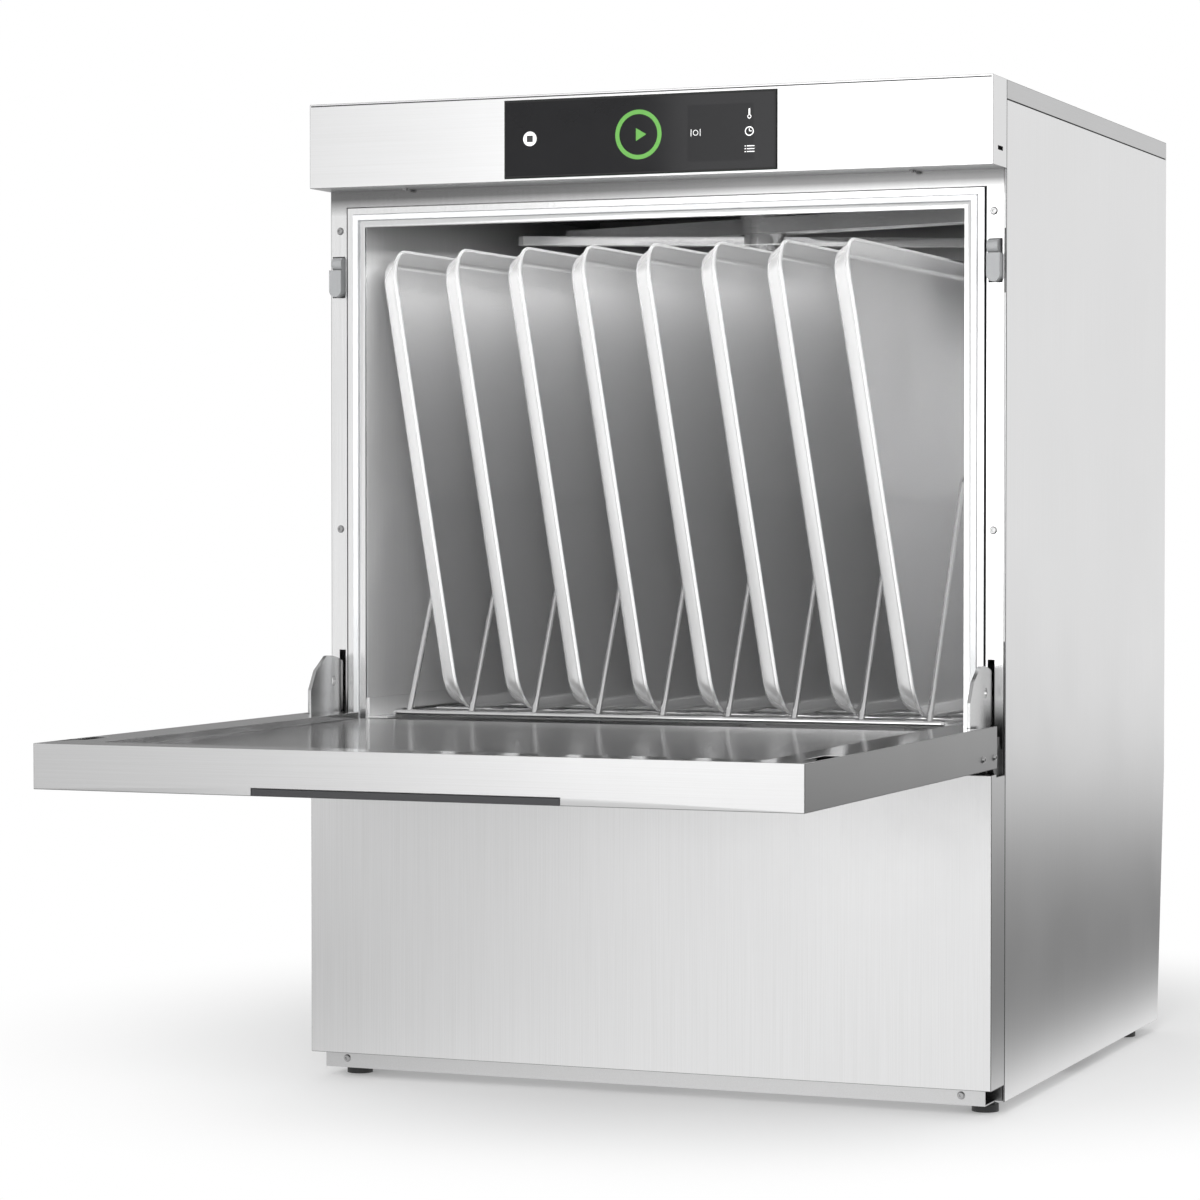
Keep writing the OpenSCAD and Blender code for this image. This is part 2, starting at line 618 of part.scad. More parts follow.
module drain_pump() color(plastic) {
    rod_y(30, -drain_x - 60, niche_y - 110, niche_y - 46, 48);
    box(-drain_x - 80, -drain_x - 40, niche_y - 100, niche_y - 60, base_z, 26);
    rod_x(10, -drain_x - 60, -drain_x, niche_y - 70, conn_z);
    translate([-drain_x, niche_y - 70, conn_z]) sphere(10);
    rod_y(drain_r - 2, -drain_x, niche_y - 70, niche_y + e, conn_z);
    rod_y(drain_r + 4, -drain_x, niche_y, niche_y + collar_t, conn_z);
    rod_y(drain_r, -drain_x, niche_y + collar_t - e, niche_y + collar_t + drain_l, conn_z);
}
// Two peristaltic pumps for detergent and rinse aid on a bracket behind the lower panel
module dosing_pumps() {
    color(dark) for (x = [130, 205]) {
        rod_y(26, x, 70, 88, 180);
        rod_y(20, x, 88 - e, 122, 180);
        for (s = [-1, 1]) rod_z(3, x + s * 16, 79, 152, 164);
    }
    color(steel) {
        box(96, 239, 88, 89.2, 146, 214);
        for (x = [96, 238]) box(x, x + 1.2, 88, 120, 60, 214);
    }
    color(steel) for (x = [96, 228]) box(x, x + 12, 88, 120, base_z, 62);
}
elec_x = half_w - 150;
elec_y = arm_y - 158;
elec_top = 118;
module electrics_box() color([0.7, 0.7, 0.68]) {
    box(elec_x, elec_x + 135, elec_y, elec_y + 112, base_z + 8, elec_top);
    for (x = [elec_x + 10, elec_x + 115], y = [elec_y + 10, elec_y + 95])
        rod_z(4, x, y, base_z, base_z + 8 + e);
    for (x = [elec_x + 40, elec_x + 80]) rod_y(9, x, elec_y + 112 - e, elec_y + 124, 40);
}
// Flat water box between the chamber and the left panel, which feeds the boiler
air_y = arm_y - 108;
air_z = chamber_floor + 50;
module air_break() color(white) {
    box(-inner_w + 3, -open_half - chamber_t, air_y, air_y + 130, air_z, air_z + 300);
    for (y = [air_y + 30, air_y + 100]) rod_z(7, -inner_w + 16, y, air_z - 32, air_z + e);
}
module inlet_valve() color(plastic) {
    rod_y(inlet_r - 1, inlet_x, niche_y - 10, niche_y + e, conn_z);
    rod_y(inlet_r + 4, inlet_x, niche_y, niche_y + collar_t, conn_z);
    rod_y(inlet_r, inlet_x, niche_y + collar_t - e, niche_y + collar_t + inlet_l, conn_z);
    rod_y(inlet_r + 4, inlet_x, niche_y - 20, niche_y - sheet_t, conn_z);
    box(inlet_x - 16, inlet_x + 16, niche_y - 56, niche_y - 20 + e, conn_z - 16, conn_z + 16);
    rod_z(14, inlet_x, niche_y - 38, conn_z + 15, conn_z + 44);
}
module cable_gland() color(dark) difference() {
    union() {
        rod_y(gland_r + 4, gland_x, niche_y - 12, niche_y + 8, conn_z);
        translate([gland_x, niche_y, conn_z]) rotate([-90, 0, 0]) cylinder(r = gland_r + 7, h = 5, $fn = 6);
        translate([gland_x, niche_y - sheet_t - 5, conn_z]) rotate([-90, 0, 0])
            cylinder(r = gland_r + 7, h = 5, $fn = 6);
        rod_y(gland_r + 3, gland_x, niche_y + 8 - e, niche_y + 18, conn_z);
    }
    rod_y(gland_r, gland_x, niche_y - 20, niche_y + 30, conn_z);
}

// ---- Door hardware on the cabinet ----
module hinge_brackets() color(steel) both() {
    slab_yz([[hinge_y, hinge_z - 5.6], [hinge_y, hinge_z + 5.6], [post_y - 4, hinge_z + 5.6],
        [post_y, hinge_z + 16], [post_y, 232], [post_y - 4, 240], [post_y - 4, hinge_z - 24],
        [hinge_y + 8.5, hinge_z - 5.6]], bracket_x, bracket_x + 3);
    rod_x(5.8, bracket_x, bracket_x + 3, hinge_y, hinge_z);
    rod_x(hinge_pin_r, leaf_x - 2, bracket_x + e, hinge_y, hinge_z);
}
module latch() {
    color(plastic) {
        box(latch_x - latch_w / 2, latch_x + latch_w / 2, post_y - latch_out, post_y + 16,
            latch_z + latch_w / 2, latch_z + 23);
        rod_y(latch_w / 2, latch_x, post_y - latch_out, post_y + 16, latch_z + latch_w / 2);
        rod_x(5.5, latch_x - latch_w / 2, latch_x + latch_w / 2 - 2, post_y - latch_out + 6, latch_z + 28.5);
        box(latch_x - latch_w / 2, latch_x + latch_w / 2 - 2, post_y - latch_out + 6, post_y + 16,
            latch_z + 23 - e, latch_z + 34);
    }
}
module latch_left() mirror([1, 0, 0]) latch();
module latch_right() latch();

// Pan-head screw that points towards +Y, with a cross in its head
module screw_head(r) difference() {
    rotate([90, 0, 0]) cylinder(r = r, h = 1.6);
    for (a = [0, 90]) rotate([0, a, 0]) translate([0, -1.6, 0]) cube([r, 1.6, 0.8], center = true);
}
post_screw_z = [sill_z + 179.8, opening_top - 2.7];
module front_screws() color(steel) both() {
    for (z = post_screw_z) translate([post_x + 6, post_y, z]) screw_head(3.3);
    translate([half_w - 28, plinth_y, foot_h + 8]) screw_head(3.3);
    translate([half_w - 75, fascia_d - 9, fascia_z]) rotate([90, 0, 0]) screw_head(3);
}

// ---- Door, drawn open ----
module door_outer_skin() color(steel) difference() {
    box(-half_w, half_w, open_front, open_rear, open_z, open_top);
    box(-inner_w, inner_w, open_front + sheet_t, open_rear - sheet_t, open_z + sheet_t, open_top + 1);
    // Recess for the grip strip along the front edge
    box(-grip_w / 2 - fit / 2, grip_w / 2 + fit / 2, open_front - 1, open_front + 3, open_z - 1,
        open_z + grip_h + fit / 2);
    // Way for the rack over the rear edge
    box(-track_half - sheet_t, track_half + sheet_t, open_rear - 2 * sheet_t, open_rear + 1,
        track_z - sheet_t, open_top + 1);
    // Notches round the hinge brackets
    both() box(leaf_x - 1.2, bracket_x + 4.4, hinge_y - 14, open_rear + 1, open_z + sheet_t, open_top + 1);
}
module door_inner_panel() color(bright) {
    difference() {
        box(-inner_w, inner_w, open_front + sheet_t, open_rear - sheet_t, open_top - sheet_t, open_top);
        box(-track_half, track_half, open_front + 30, open_rear, open_top - 2, open_top + 1);
        both() {
            box(leaf_x - 1.2, bracket_x + 4.4, hinge_y - 36, open_rear + 1, open_top - 2, open_top + 1);
            latch_pocket();
        }
    }
    // Sunk track on which the rack slides
    difference() {
        box(-track_half - sheet_t, track_half + sheet_t, open_front + 30 - sheet_t, open_rear - sheet_t,
            track_z - sheet_t, open_top);
        box(-track_half, track_half, open_front + 30, open_rear, track_z, open_top + 1);
    }
    // Two folded channels that stiffen the door
    for (x = [-160, 160]) difference() {
        box(x - 20, x + 20, open_front + 60, open_rear - 30, open_z + sheet_t, track_z - sheet_t + e);
        box(x - 20 + sheet_t, x + 20 - sheet_t, open_front + 59, open_rear - 29, open_z + 2 * sheet_t,
            track_z - sheet_t);
    }
}
// Pocket that the latch enters when the door is shut, turned with the door
module latch_pocket() {
    far = hinge_y - (latch_z + latch_h + 2 - hinge_z);
    near = hinge_y - (latch_z - 2 - hinge_z);
    box(latch_x - latch_w / 2 - 1.2, latch_x + latch_w / 2 + 1.2, far, near, open_top - 2, open_top + 1);
}
module door_grip() color(dark) difference() {
    box(-grip_w / 2, grip_w / 2, open_front, open_front + 16, open_z, open_z + grip_h);
    box(-grip_w / 2 - 1, grip_w / 2 + 1, open_front + 3 - fit / 2, open_front + 17, open_z - 1,
        open_z + sheet_t + fit / 2);
}
// Hinge leaf: pivot ear with its quadrant above the door's inner face
module hinge_leaf() difference() {
    union() {
        intersection() {
            rod_x(quadrant_r, leaf_x, leaf_x + leaf_t, hinge_y, hinge_z);
            slab_yz([[hinge_y - 34, hinge_z + 20], [hinge_y - 34, hinge_z + 46], [hinge_y - 24, hinge_z + 62],
                [hinge_y - 4, hinge_z + quadrant_r], [hinge_y + 27, hinge_z + quadrant_r],
                [hinge_y + 27, hinge_z + 29], [hinge_y + 8, hinge_z + 6], [hinge_y, hinge_z],
                [hinge_y - 8, hinge_z]], leaf_x, leaf_x + leaf_t);
        }
        rod_x(5.8, leaf_x, leaf_x + leaf_t, hinge_y, hinge_z);
        box(leaf_x, leaf_x + leaf_t, hinge_y - 60, hinge_y - 4, open_z + sheet_t + 0.2, hinge_z + 18);
    }
    rod_x(hinge_pin_r + running, leaf_x - 1, leaf_x + leaf_t + 1, hinge_y, hinge_z);
    // Curved slot of the door stop
    rod_x(4, leaf_x - 1, leaf_x + leaf_t + 1, hinge_y + 10, hinge_z + 52);
}
module hinge_leaves() color(bright) both() {
    hinge_leaf();
    box(leaf_x, inner_w, hinge_y - 60, hinge_y - 18, open_z + sheet_t, open_z + sheet_t + 2);
    box(inner_w - 2, inner_w, hinge_y - 60, hinge_y - 18, open_z + sheet_t, open_top - sheet_t);
}
module door_screws() color(steel) both() for (y = [hinge_y - 32, hinge_y])
    translate([half_w, y, hinge_z + 1.5]) rotate([0, 0, 90]) screw_head(3);

// ---- Rack and trays, drawn inside the chamber ----
rack_half = rack_w / 2 - frame_wire / 2;
rack_y0 = rack_front + frame_wire / 2;
rack_y1 = rack_front + rack_l - frame_wire / 2;
function bail_x(i) = (i - (bail_count - 1) / 2) * bail_pitch;
module rack_base() color(bright) {
    for (y = [rack_y0, rack_y1]) rod_x(frame_wire / 2, -rack_half, rack_half, y, wire_z);
    for (s = [-1, 1]) rod_y(frame_wire / 2, s * rack_half, rack_y0, rack_y1, wire_z);
    for (s = [-1, 1], y = [rack_y0, rack_y1]) translate([s * rack_half, y, wire_z]) sphere(frame_wire / 2);
    for (k = [1:5]) rod_x(2, -rack_half, rack_half, rack_y0 + k * (rack_y1 - rack_y0) / 6, wire_z - 0.5);
    for (s = [-1, 1], y = [14, 30]) rod_x(2, -rack_half, rack_half, s > 0 ? rack_y0 + y : rack_y1 - y,
        wire_z - 0.5);
}
// Bent wire bail: two leaning legs joined to the level top by round bends
module bail_half() difference() {
    leg = sqrt(bail_lean * bail_lean + bail_h * bail_h);
    turn = 90 - leg_angle();
    setback = bend_r * tan(turn / 2);
    union() {
        translate([0, rack_y0, wire_z]) rotate([-leg_angle(), 0, 0])
            cylinder(r = bail_wire / 2, h = leg - setback);
        translate([0, rack_y0 + bail_lean + setback, bail_top_z - bend_r]) rotate([90, 0, 90])
            rotate([0, 0, 90]) rotate_extrude(angle = turn) translate([bend_r, 0])
            circle(bail_wire / 2, $fn = 24);
        rod_y(bail_wire / 2, 0, rack_y0 + bail_lean + setback, rack_mid, bail_top_z);
    }
    // The leg ends on the frame wire
    rod_x(frame_wire / 2, -bail_wire, bail_wire, rack_y0, wire_z);
}
bend_r = 9;
rack_mid = (rack_y0 + rack_y1) / 2;
module bail(x) translate([x, 0, 0]) {
    bail_half();
    translate([0, 2 * rack_mid, 0]) mirror([0, 1, 0]) bail_half();
}
module rack_bails() color(bright) for (i = [0:bail_count - 1]) bail(bail_x(i));

// Section of a tray from its corner's axis outward: floor, tapered wall and rolled rim
module tray_section() {
    foot = tray_r - tray_taper;
    polygon([[0, 0], [foot - 2, 0], [foot, 2], [tray_r, tray_d], [tray_r - tray_t, tray_d],
        [foot - tray_t, 2], [foot - 2, tray_t], [0, tray_t]]);
    translate([tray_r, tray_d - tray_bead / 2]) circle(tray_bead / 2, $fn = 24);
}
module tray_shape() {
    l = tray_l - tray_bead - 2 * tray_r;
    w = tray_h - tray_bead - 2 * tray_r;
    translate([-l / 2, -w / 2, 0]) cube([l, w, tray_t]);
    for (a = [0, 180]) rotate([0, 0, a]) {
        translate([l / 2, w / 2, 0]) rotate([90, 0, 0]) linear_extrude(w) tray_section();
        translate([-l / 2, w / 2, 0]) rotate([90, 0, 90]) linear_extrude(l) tray_section();
        translate([l / 2, w / 2, 0]) rotate_extrude(angle = 90) tray_section();
        translate([-l / 2, w / 2, 0]) rotate([0, 0, 90]) rotate_extrude(angle = 90) tray_section();
    }
}
module tray(i) {
    // The tray's base leans on the bail to its left, its rim stands on the frame wires
    touch = bail_wire / 2 + fit;
    drop = tray_d * sin(tray_lean);
    foot_z = rest_z - drop;
    x = bail_x(i) + touch / cos(tray_lean) + (bail_top_z - foot_z) * tan(tray_lean);
    color(white) translate([x, tray_front + tray_l / 2, foot_z]) rotate([0, -tray_lean, 0])
        translate([0, 0, tray_h / 2]) rotate([0, 90, 0]) rotate([0, 0, 90]) tray_shape();
}

place() {
    base_frame();
    feet();
    side_panel_left();
    side_panel_right();
    rear_panel_upper();
    rear_panel_lower();
    top_cover();
    fascia_hood();
    control_glass();
    start_ring();
    stop_key();
    control_board();
    lower_front_panel();
    front_frame();
    opening_frame();
    door_seal();
    wash_chamber();
    rack_rails();
    sump_tank();
    strainer_plates();
    strainer_basket();
    tank_heater();
    manifold_lower();
    manifold_upper();
    wash_riser();
    wash_arm_lower();
    wash_arm_upper();
    rinse_arm_lower();
    rinse_arm_upper();
    pump_casing();
    pump_motor();
    pump_rotor();
    boiler();
    rinse_pump();
    drain_pump();
    dosing_pumps();
    electrics_box();
    air_break();
    inlet_valve();
    cable_gland();
    hinge_brackets();
    latch_left();
    latch_right();
    front_screws();
    door_outer_skin();
    door_inner_panel();
    door_grip();
    hinge_leaves();
    door_screws();
    rack_base();
    rack_bails();
    tray(0);  // tray_1
    tray(1);  // tray_2
    tray(2);  // tray_3
    tray(3);  // tray_4
    tray(4);  // tray_5
    tray(5);  // tray_6
    tray(6);  // tray_7
    tray(7);  // tray_8
}
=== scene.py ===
import json
import math

import bmesh
import bpy
from mathutils import Matrix, Vector


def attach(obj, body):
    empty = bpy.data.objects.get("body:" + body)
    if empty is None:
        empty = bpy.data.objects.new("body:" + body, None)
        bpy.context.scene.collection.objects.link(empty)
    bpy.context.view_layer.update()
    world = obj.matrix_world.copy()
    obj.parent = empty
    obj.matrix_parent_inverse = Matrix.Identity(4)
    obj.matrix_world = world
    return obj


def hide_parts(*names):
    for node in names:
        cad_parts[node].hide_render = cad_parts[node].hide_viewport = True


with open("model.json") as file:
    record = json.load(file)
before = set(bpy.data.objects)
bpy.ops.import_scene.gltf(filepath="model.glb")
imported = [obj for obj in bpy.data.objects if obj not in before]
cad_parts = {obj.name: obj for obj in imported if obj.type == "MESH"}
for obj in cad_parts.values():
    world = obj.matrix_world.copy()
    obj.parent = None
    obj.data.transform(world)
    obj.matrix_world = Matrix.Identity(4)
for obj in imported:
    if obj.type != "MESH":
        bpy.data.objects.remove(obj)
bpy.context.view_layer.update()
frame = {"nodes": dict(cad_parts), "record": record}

nodes = frame["nodes"]
bodyOf = {node: body for body, members in frame["record"]["behaviour"]["bodies"].items()
          for node in members}
mm = 0.001
depthShift = 65.25  # the origin lies this far behind the fascia's face, in millimetres


# A point of part.scad, in millimetres, as a place in the frame
def at(x, y, z):
    return Vector((x * mm, (y - depthShift) * mm, z * mm))


def turned(degrees, axis):
    return Matrix.Rotation(math.radians(degrees), 4, axis)


def linkObject(name, data):
    made = bpy.data.objects.new(name, data)
    bpy.context.scene.collection.objects.link(made)
    return made


# Camera at the photograph's viewing angle, for a frame of 1200 x 1200 pixels
view = {"place": (1103.6, -2828.1, 484.0), "turn": 21.92, "down": 1.356, "lens": 110.87,
        "sensor": 36, "farthest": 60}
camera = linkObject("camera", bpy.data.cameras.new("camera"))
camera.data.lens = view["lens"]
camera.data.sensor_width = view["sensor"]
camera.data.clip_end = view["farthest"]
camera.location = at(*view["place"])
camera.rotation_euler = (math.radians(90 - view["down"]), 0, math.radians(view["turn"]))
bpy.context.scene.camera = camera
bpy.context.scene.view_settings.view_transform = "Standard"
print("camera placed")


# What feeds a socket is a plain value or another node's output
def feed(links, socket, value):
    if hasattr(value, "is_linked"):
        links.new(value, socket)
    else:
        socket.default_value = value


def mathNode(tree, links, operation, *values):
    made = tree.new("ShaderNodeMath")
    made.operation = operation
    for socket, value in zip(made.inputs, values):
        feed(links, socket, value)
    return made.outputs[0]


def rangeNode(tree, links, value, start, end, low=0.0, high=1.0, smooth=True):
    made = tree.new("ShaderNodeMapRange")
    if smooth:
        made.interpolation_type = "SMOOTHSTEP"
    links.new(value, made.inputs["Value"])
    for label, bound in (("From Min", start), ("From Max", end), ("To Min", low), ("To Max", high)):
        feed(links, made.inputs[label], bound)
    return made.outputs["Result"]


def blendNode(tree, links, factor, first, second, blend="MIX"):
    made = tree.new("ShaderNodeMix")
    made.data_type = "RGBA"
    made.blend_type = blend
    for label, value in (("Factor", factor), ("A", first), ("B", second)):
        feed(links, made.inputs[label], value)
    return made.outputs["Result"]


def splitNode(tree, links, vector):
    made = tree.new("ShaderNodeSeparateXYZ")
    links.new(vector, made.inputs[0])
    return made.outputs


def noise(tree, links, vector, scale, detail, rough):
    made = tree.new("ShaderNodeTexNoise")
    links.new(vector, made.inputs["Vector"])
    for label, value in (("Scale", scale), ("Detail", detail), ("Roughness", rough)):
        feed(links, made.inputs[label], value)
    return made.outputs["Fac"]


# Most of a noise's values lie in the middle, and are spread from low to high
noiseSpan = (0.3, 0.7)


def overNoise(tree, links, value, low, high):
    return rangeNode(tree, links, value, *noiseSpan, low, high, smooth=False)


def newGroup(name, inputs, outputs):
    group = bpy.data.node_groups.new(name, "ShaderNodeTree")
    for label, kind, value in inputs:
        socket = group.interface.new_socket(name=label, in_out="INPUT", socket_type=kind)
        if value is not None:
            socket.default_value = value
    for label, kind in outputs:
        group.interface.new_socket(name=label, in_out="OUTPUT", socket_type=kind)
    tree = group.nodes
    source, sink = tree.new("NodeGroupInput"), tree.new("NodeGroupOutput")
    return group, tree, group.links, source.outputs, sink.inputs


surfaceOutputs = [("Color", "NodeSocketColor"), ("Roughness", "NodeSocketFloat"),
                  ("Height", "NodeSocketFloat")]
# Noise scale, detail and roughness
lineNoise, smudgeNoise, waveNoise = (1.0, 3.0, 0.6), (7.0, 4.0, 0.6), (1.0, 0.4)
grainNoise, dustNoise = (2.0, 0.5), (18.0, 4.0, 0.6)
lineShare, smudgeShare = 0.55, 0.45


# Metal: fine lines along one direction, and broad smudges that change the gloss
def makeMetalGroup():
    group, tree, links, given, sink = newGroup(
        "metalSurface",
        [("Vector", "NodeSocketVector", None), ("Lines", "NodeSocketVector", None),
         ("Low Roughness", "NodeSocketFloat", 0.2), ("High Roughness", "NodeSocketFloat", 0.3),
         ("Dark", "NodeSocketColor", (0.7, 0.7, 0.7, 1)),
         ("Light", "NodeSocketColor", (0.8, 0.8, 0.8, 1)),
         ("Line Height", "NodeSocketFloat", 0.3), ("Wave Scale", "NodeSocketFloat", 3.0),
         ("Wave Height", "NodeSocketFloat", 0.5)],
        surfaceOutputs)
    lines = noise(tree, links, given["Lines"], *lineNoise)
    smudge = noise(tree, links, given["Vector"], *smudgeNoise)
    wave = noise(tree, links, given["Vector"], given["Wave Scale"], *waveNoise)
    gloss = mathNode(tree, links, "MULTIPLY_ADD", lines, lineShare,
                     mathNode(tree, links, "MULTIPLY", smudge, smudgeShare))
    links.new(overNoise(tree, links, gloss, given["Low Roughness"], given["High Roughness"]),
              sink["Roughness"])
    lit = overNoise(tree, links, lines, 0.0, 1.0)
    links.new(blendNode(tree, links, lit, given["Dark"], given["Light"]), sink["Color"])
    fine = mathNode(tree, links, "MULTIPLY", lines, given["Line Height"])
    links.new(mathNode(tree, links, "MULTIPLY_ADD", wave, given["Wave Height"], fine),
              sink["Height"])
    return group


# Plastic and rubber: a fine moulded grain with a slight change of gloss
def makeMouldedGroup():
    group, tree, links, given, sink = newGroup(
        "mouldedSurface",
        [("Vector", "NodeSocketVector", None), ("Low Roughness", "NodeSocketFloat", 0.4),
         ("High Roughness", "NodeSocketFloat", 0.55),
         ("Dark", "NodeSocketColor", (0.3, 0.3, 0.3, 1)),
         ("Light", "NodeSocketColor", (0.4, 0.4, 0.4, 1)), ("Grain", "NodeSocketFloat", 900.0)],
        surfaceOutputs)
    grain = noise(tree, links, given["Vector"], given["Grain"], *grainNoise)
    dust = noise(tree, links, given["Vector"], *dustNoise)
    links.new(overNoise(tree, links, dust, given["Low Roughness"], given["High Roughness"]),
              sink["Roughness"])
    lit = overNoise(tree, links, dust, 0.0, 1.0)
    links.new(blendNode(tree, links, lit, given["Dark"], given["Light"]), sink["Color"])
    links.new(grain, sink["Height"])
    return group


# Painted shade over a height: a colour is multiplied by Tone more and more from Start to End
def makeHeightGroup():
    group, tree, links, given, sink = newGroup(
        "heightShade",
        [("Vector", "NodeSocketVector", None), ("Color", "NodeSocketColor", None),
         ("Tone", "NodeSocketColor", (0.5, 0.5, 0.5, 1)), ("Start", "NodeSocketFloat", 0.0),
         ("End", "NodeSocketFloat", 1.0)],
        [("Color", "NodeSocketColor")])
    height = splitNode(tree, links, given["Vector"])["Z"]
    factor = rangeNode(tree, links, height, given["Start"], given["End"], smooth=False)
    links.new(blendNode(tree, links, factor, given["Color"], given["Tone"], "MULTIPLY"),
              sink["Color"])
    return group


metalGroup = makeMetalGroup()
mouldedGroup = makeMouldedGroup()
heightGroup = makeHeightGroup()


def startMaterial(name, group, values, bump, depth):
    made = bpy.data.materials.new(name)
    made.use_nodes = True
    tree, links = made.node_tree.nodes, made.node_tree.links
    shader = tree["Principled BSDF"]
    place = tree.new("ShaderNodeTexCoord")
    surface = tree.new("ShaderNodeGroup")
    surface.node_tree = group
    links.new(place.outputs["Object"], surface.inputs["Vector"])
    for label, value in values.items():
        surface.inputs[label].default_value = value
    links.new(surface.outputs["Color"], shader.inputs["Base Color"])
    links.new(surface.outputs["Roughness"], shader.inputs["Roughness"])
    relief = tree.new("ShaderNodeBump")
    relief.inputs["Strength"].default_value = bump
    relief.inputs["Distance"].default_value = depth
    links.new(surface.outputs["Height"], relief.inputs["Height"])
    links.new(relief.outputs["Normal"], shader.inputs["Normal"])
    return made, shader, place, surface


metalDepth, mouldedDepth = 0.01, 0.0004  # of the bump, in metres
coolTint = 0.004


# lines: noise scale along each axis; wave: scale and height; spread: how much darker the lines are
def metal(name, tone, rough, lines, lineHeight, wave, bump, spread=0.05, metallic=1.0):
    made, shader, place, surface = startMaterial(name, metalGroup, {
        "Low Roughness": rough[0], "High Roughness": rough[1],
        "Dark": (tone - spread, tone - spread, tone - spread, 1),
        "Light": (tone, tone, tone + coolTint, 1),
        "Line Height": lineHeight, "Wave Scale": wave[0], "Wave Height": wave[1]}, bump, metalDepth)
    stretch = made.node_tree.nodes.new("ShaderNodeMapping")
    stretch.inputs["Scale"].default_value = lines
    made.node_tree.links.new(place.outputs["Object"], stretch.inputs["Vector"])
    made.node_tree.links.new(stretch.outputs["Vector"], surface.inputs["Lines"])
    shader.inputs["Metallic"].default_value = metallic
    return made


# spread: the share of the colour that is left where it is darkest
def moulded(name, tone, rough, grain, bump=0.12, spread=0.85, specular=0.5):
    made, shader, place, surface = startMaterial(name, mouldedGroup, {
        "Low Roughness": rough[0], "High Roughness": rough[1],
        "Dark": (tone[0] * spread, tone[1] * spread, tone[2] * spread, 1), "Light": (*tone, 1),
        "Grain": grain}, bump, mouldedDepth)
    shader.inputs["Specular IOR Level"].default_value = specular
    return made


panelSteel = metal("panelSteel", 0.97, rough=(0.29, 0.38), lines=(1300, 1300, 7), lineHeight=0.3,
                   wave=(2.0, 0.4), bump=0.02)
frontSteel = metal("frontSteel", 0.84, rough=(0.3, 0.42), lines=(1300, 1300, 7), lineHeight=0.3,
                   wave=(2.0, 0.4), bump=0.02, spread=0.06)
hoodSteel = metal("hoodSteel", 0.95, rough=(0.285, 0.34), lines=(6, 1300, 1300), lineHeight=0.2,
                  wave=(2.0, 0.3), bump=0.008, spread=0.04)
skinSteel = metal("skinSteel", 0.72, rough=(0.285, 0.34), lines=(6, 1300, 1300), lineHeight=0.2,
                  wave=(2.0, 0.3), bump=0.008, spread=0.04)
coverSteel = metal("coverSteel", 0.68, rough=(0.285, 0.36), lines=(1300, 6, 1300), lineHeight=0.3,
                   wave=(2.0, 0.4), bump=0.015)
frameSteel = metal("frameSteel", 0.98, rough=(0.18, 0.26), lines=(900, 900, 9), lineHeight=0.1,
                   wave=(4.0, 0.2), bump=0.008, spread=0.03)
chamberSteel = metal("chamberSteel", 0.9, rough=(0.16, 0.26), lines=(500, 500, 12),
                     lineHeight=0.05, wave=(4.0, 0.6), bump=0.015, spread=0.04, metallic=0.5)
armSteel = metal("armSteel", 0.84, rough=(0.12, 0.22), lines=(12, 700, 700), lineHeight=0.05,
                 wave=(12.0, 0.3), bump=0.01, spread=0.05, metallic=0.8)
doorSteel = metal("doorSteel", 0.82, rough=(0.1, 0.18), lines=(5, 900, 900), lineHeight=0.05,
                  wave=(4.0, 0.6), bump=0.015, spread=0.04)
traySatin = metal("traySatin", 0.97, rough=(0.2, 0.26), lines=(260, 260, 6), lineHeight=0.0,
                  wave=(5.0, 1.0), bump=0.25, spread=0.03, metallic=0.72)
postSteel = metal("postSteel", 0.98, rough=(0.18, 0.26), lines=(900, 900, 9), lineHeight=0.1,
                  wave=(4.0, 0.2), bump=0.008, spread=0.03)
# Painted dark reflections for the rolled edges and bends of the sheet metal
paintedEdgeGrey = metal("paintedEdgeGrey", 0.3, rough=(0.3, 0.4), lines=(900, 900, 900), lineHeight=0.1,
                  wave=(20.0, 0.1), bump=0.01, spread=0.03)
paintedEdgeDark = metal("paintedEdgeDark", 0.1, rough=(0.3, 0.4), lines=(900, 900, 900), lineHeight=0.1,
                  wave=(20.0, 0.1), bump=0.01, spread=0.03)
leafSteel = metal("leafSteel", 0.66, rough=(0.18, 0.26), lines=(900, 900, 9), lineHeight=0.1,
                  wave=(20.0, 0.3), bump=0.02, spread=0.04)
bracketSteel = metal("bracketSteel", 0.3, rough=(0.3, 0.4), lines=(900, 900, 9), lineHeight=0.1,
                     wave=(20.0, 0.3), bump=0.02, spread=0.04)
wireChrome = metal("wireChrome", 0.9, rough=(0.08, 0.14), lines=(300, 300, 300), lineHeight=0.05,
                   wave=(40.0, 0.2), bump=0.01)
screwSteel = metal("screwSteel", 0.5, rough=(0.14, 0.24), lines=(900, 900, 900), lineHeight=0.1,
                   wave=(60.0, 0.1), bump=0.02)
plainSteel = metal("plainSteel", 0.74, rough=(0.3, 0.42), lines=(400, 400, 20), lineHeight=0.2,
                   wave=(6.0, 0.4), bump=0.03)
blackGlass = moulded("blackGlass", (0.009, 0.009, 0.01), rough=(0.05, 0.09), grain=60.0,
                     bump=0.002, spread=0.8, specular=0.28)
displayGlass = moulded("displayGlass", (0.012, 0.012, 0.013), rough=(0.06, 0.1), grain=60.0,
                       bump=0.002, spread=0.8, specular=0.2)
greyLatch = moulded("greyLatch", (0.27, 0.275, 0.28), rough=(0.3, 0.45), grain=700.0)
whiteKey = moulded("whiteKey", (0.92, 0.92, 0.92), rough=(0.25, 0.35), grain=700.0, bump=0.02)
rimBlack = moulded("rimBlack", (0.004, 0.004, 0.004), rough=(0.4, 0.5), grain=700.0, bump=0.02)
darkKey = moulded("darkKey", (0.03, 0.03, 0.03), rough=(0.2, 0.3), grain=700.0, bump=0.02)
greenLight = moulded("greenLight", (0.095, 0.3, 0.05), rough=(0.3, 0.4), grain=700.0, bump=0.02,
                     spread=0.92)
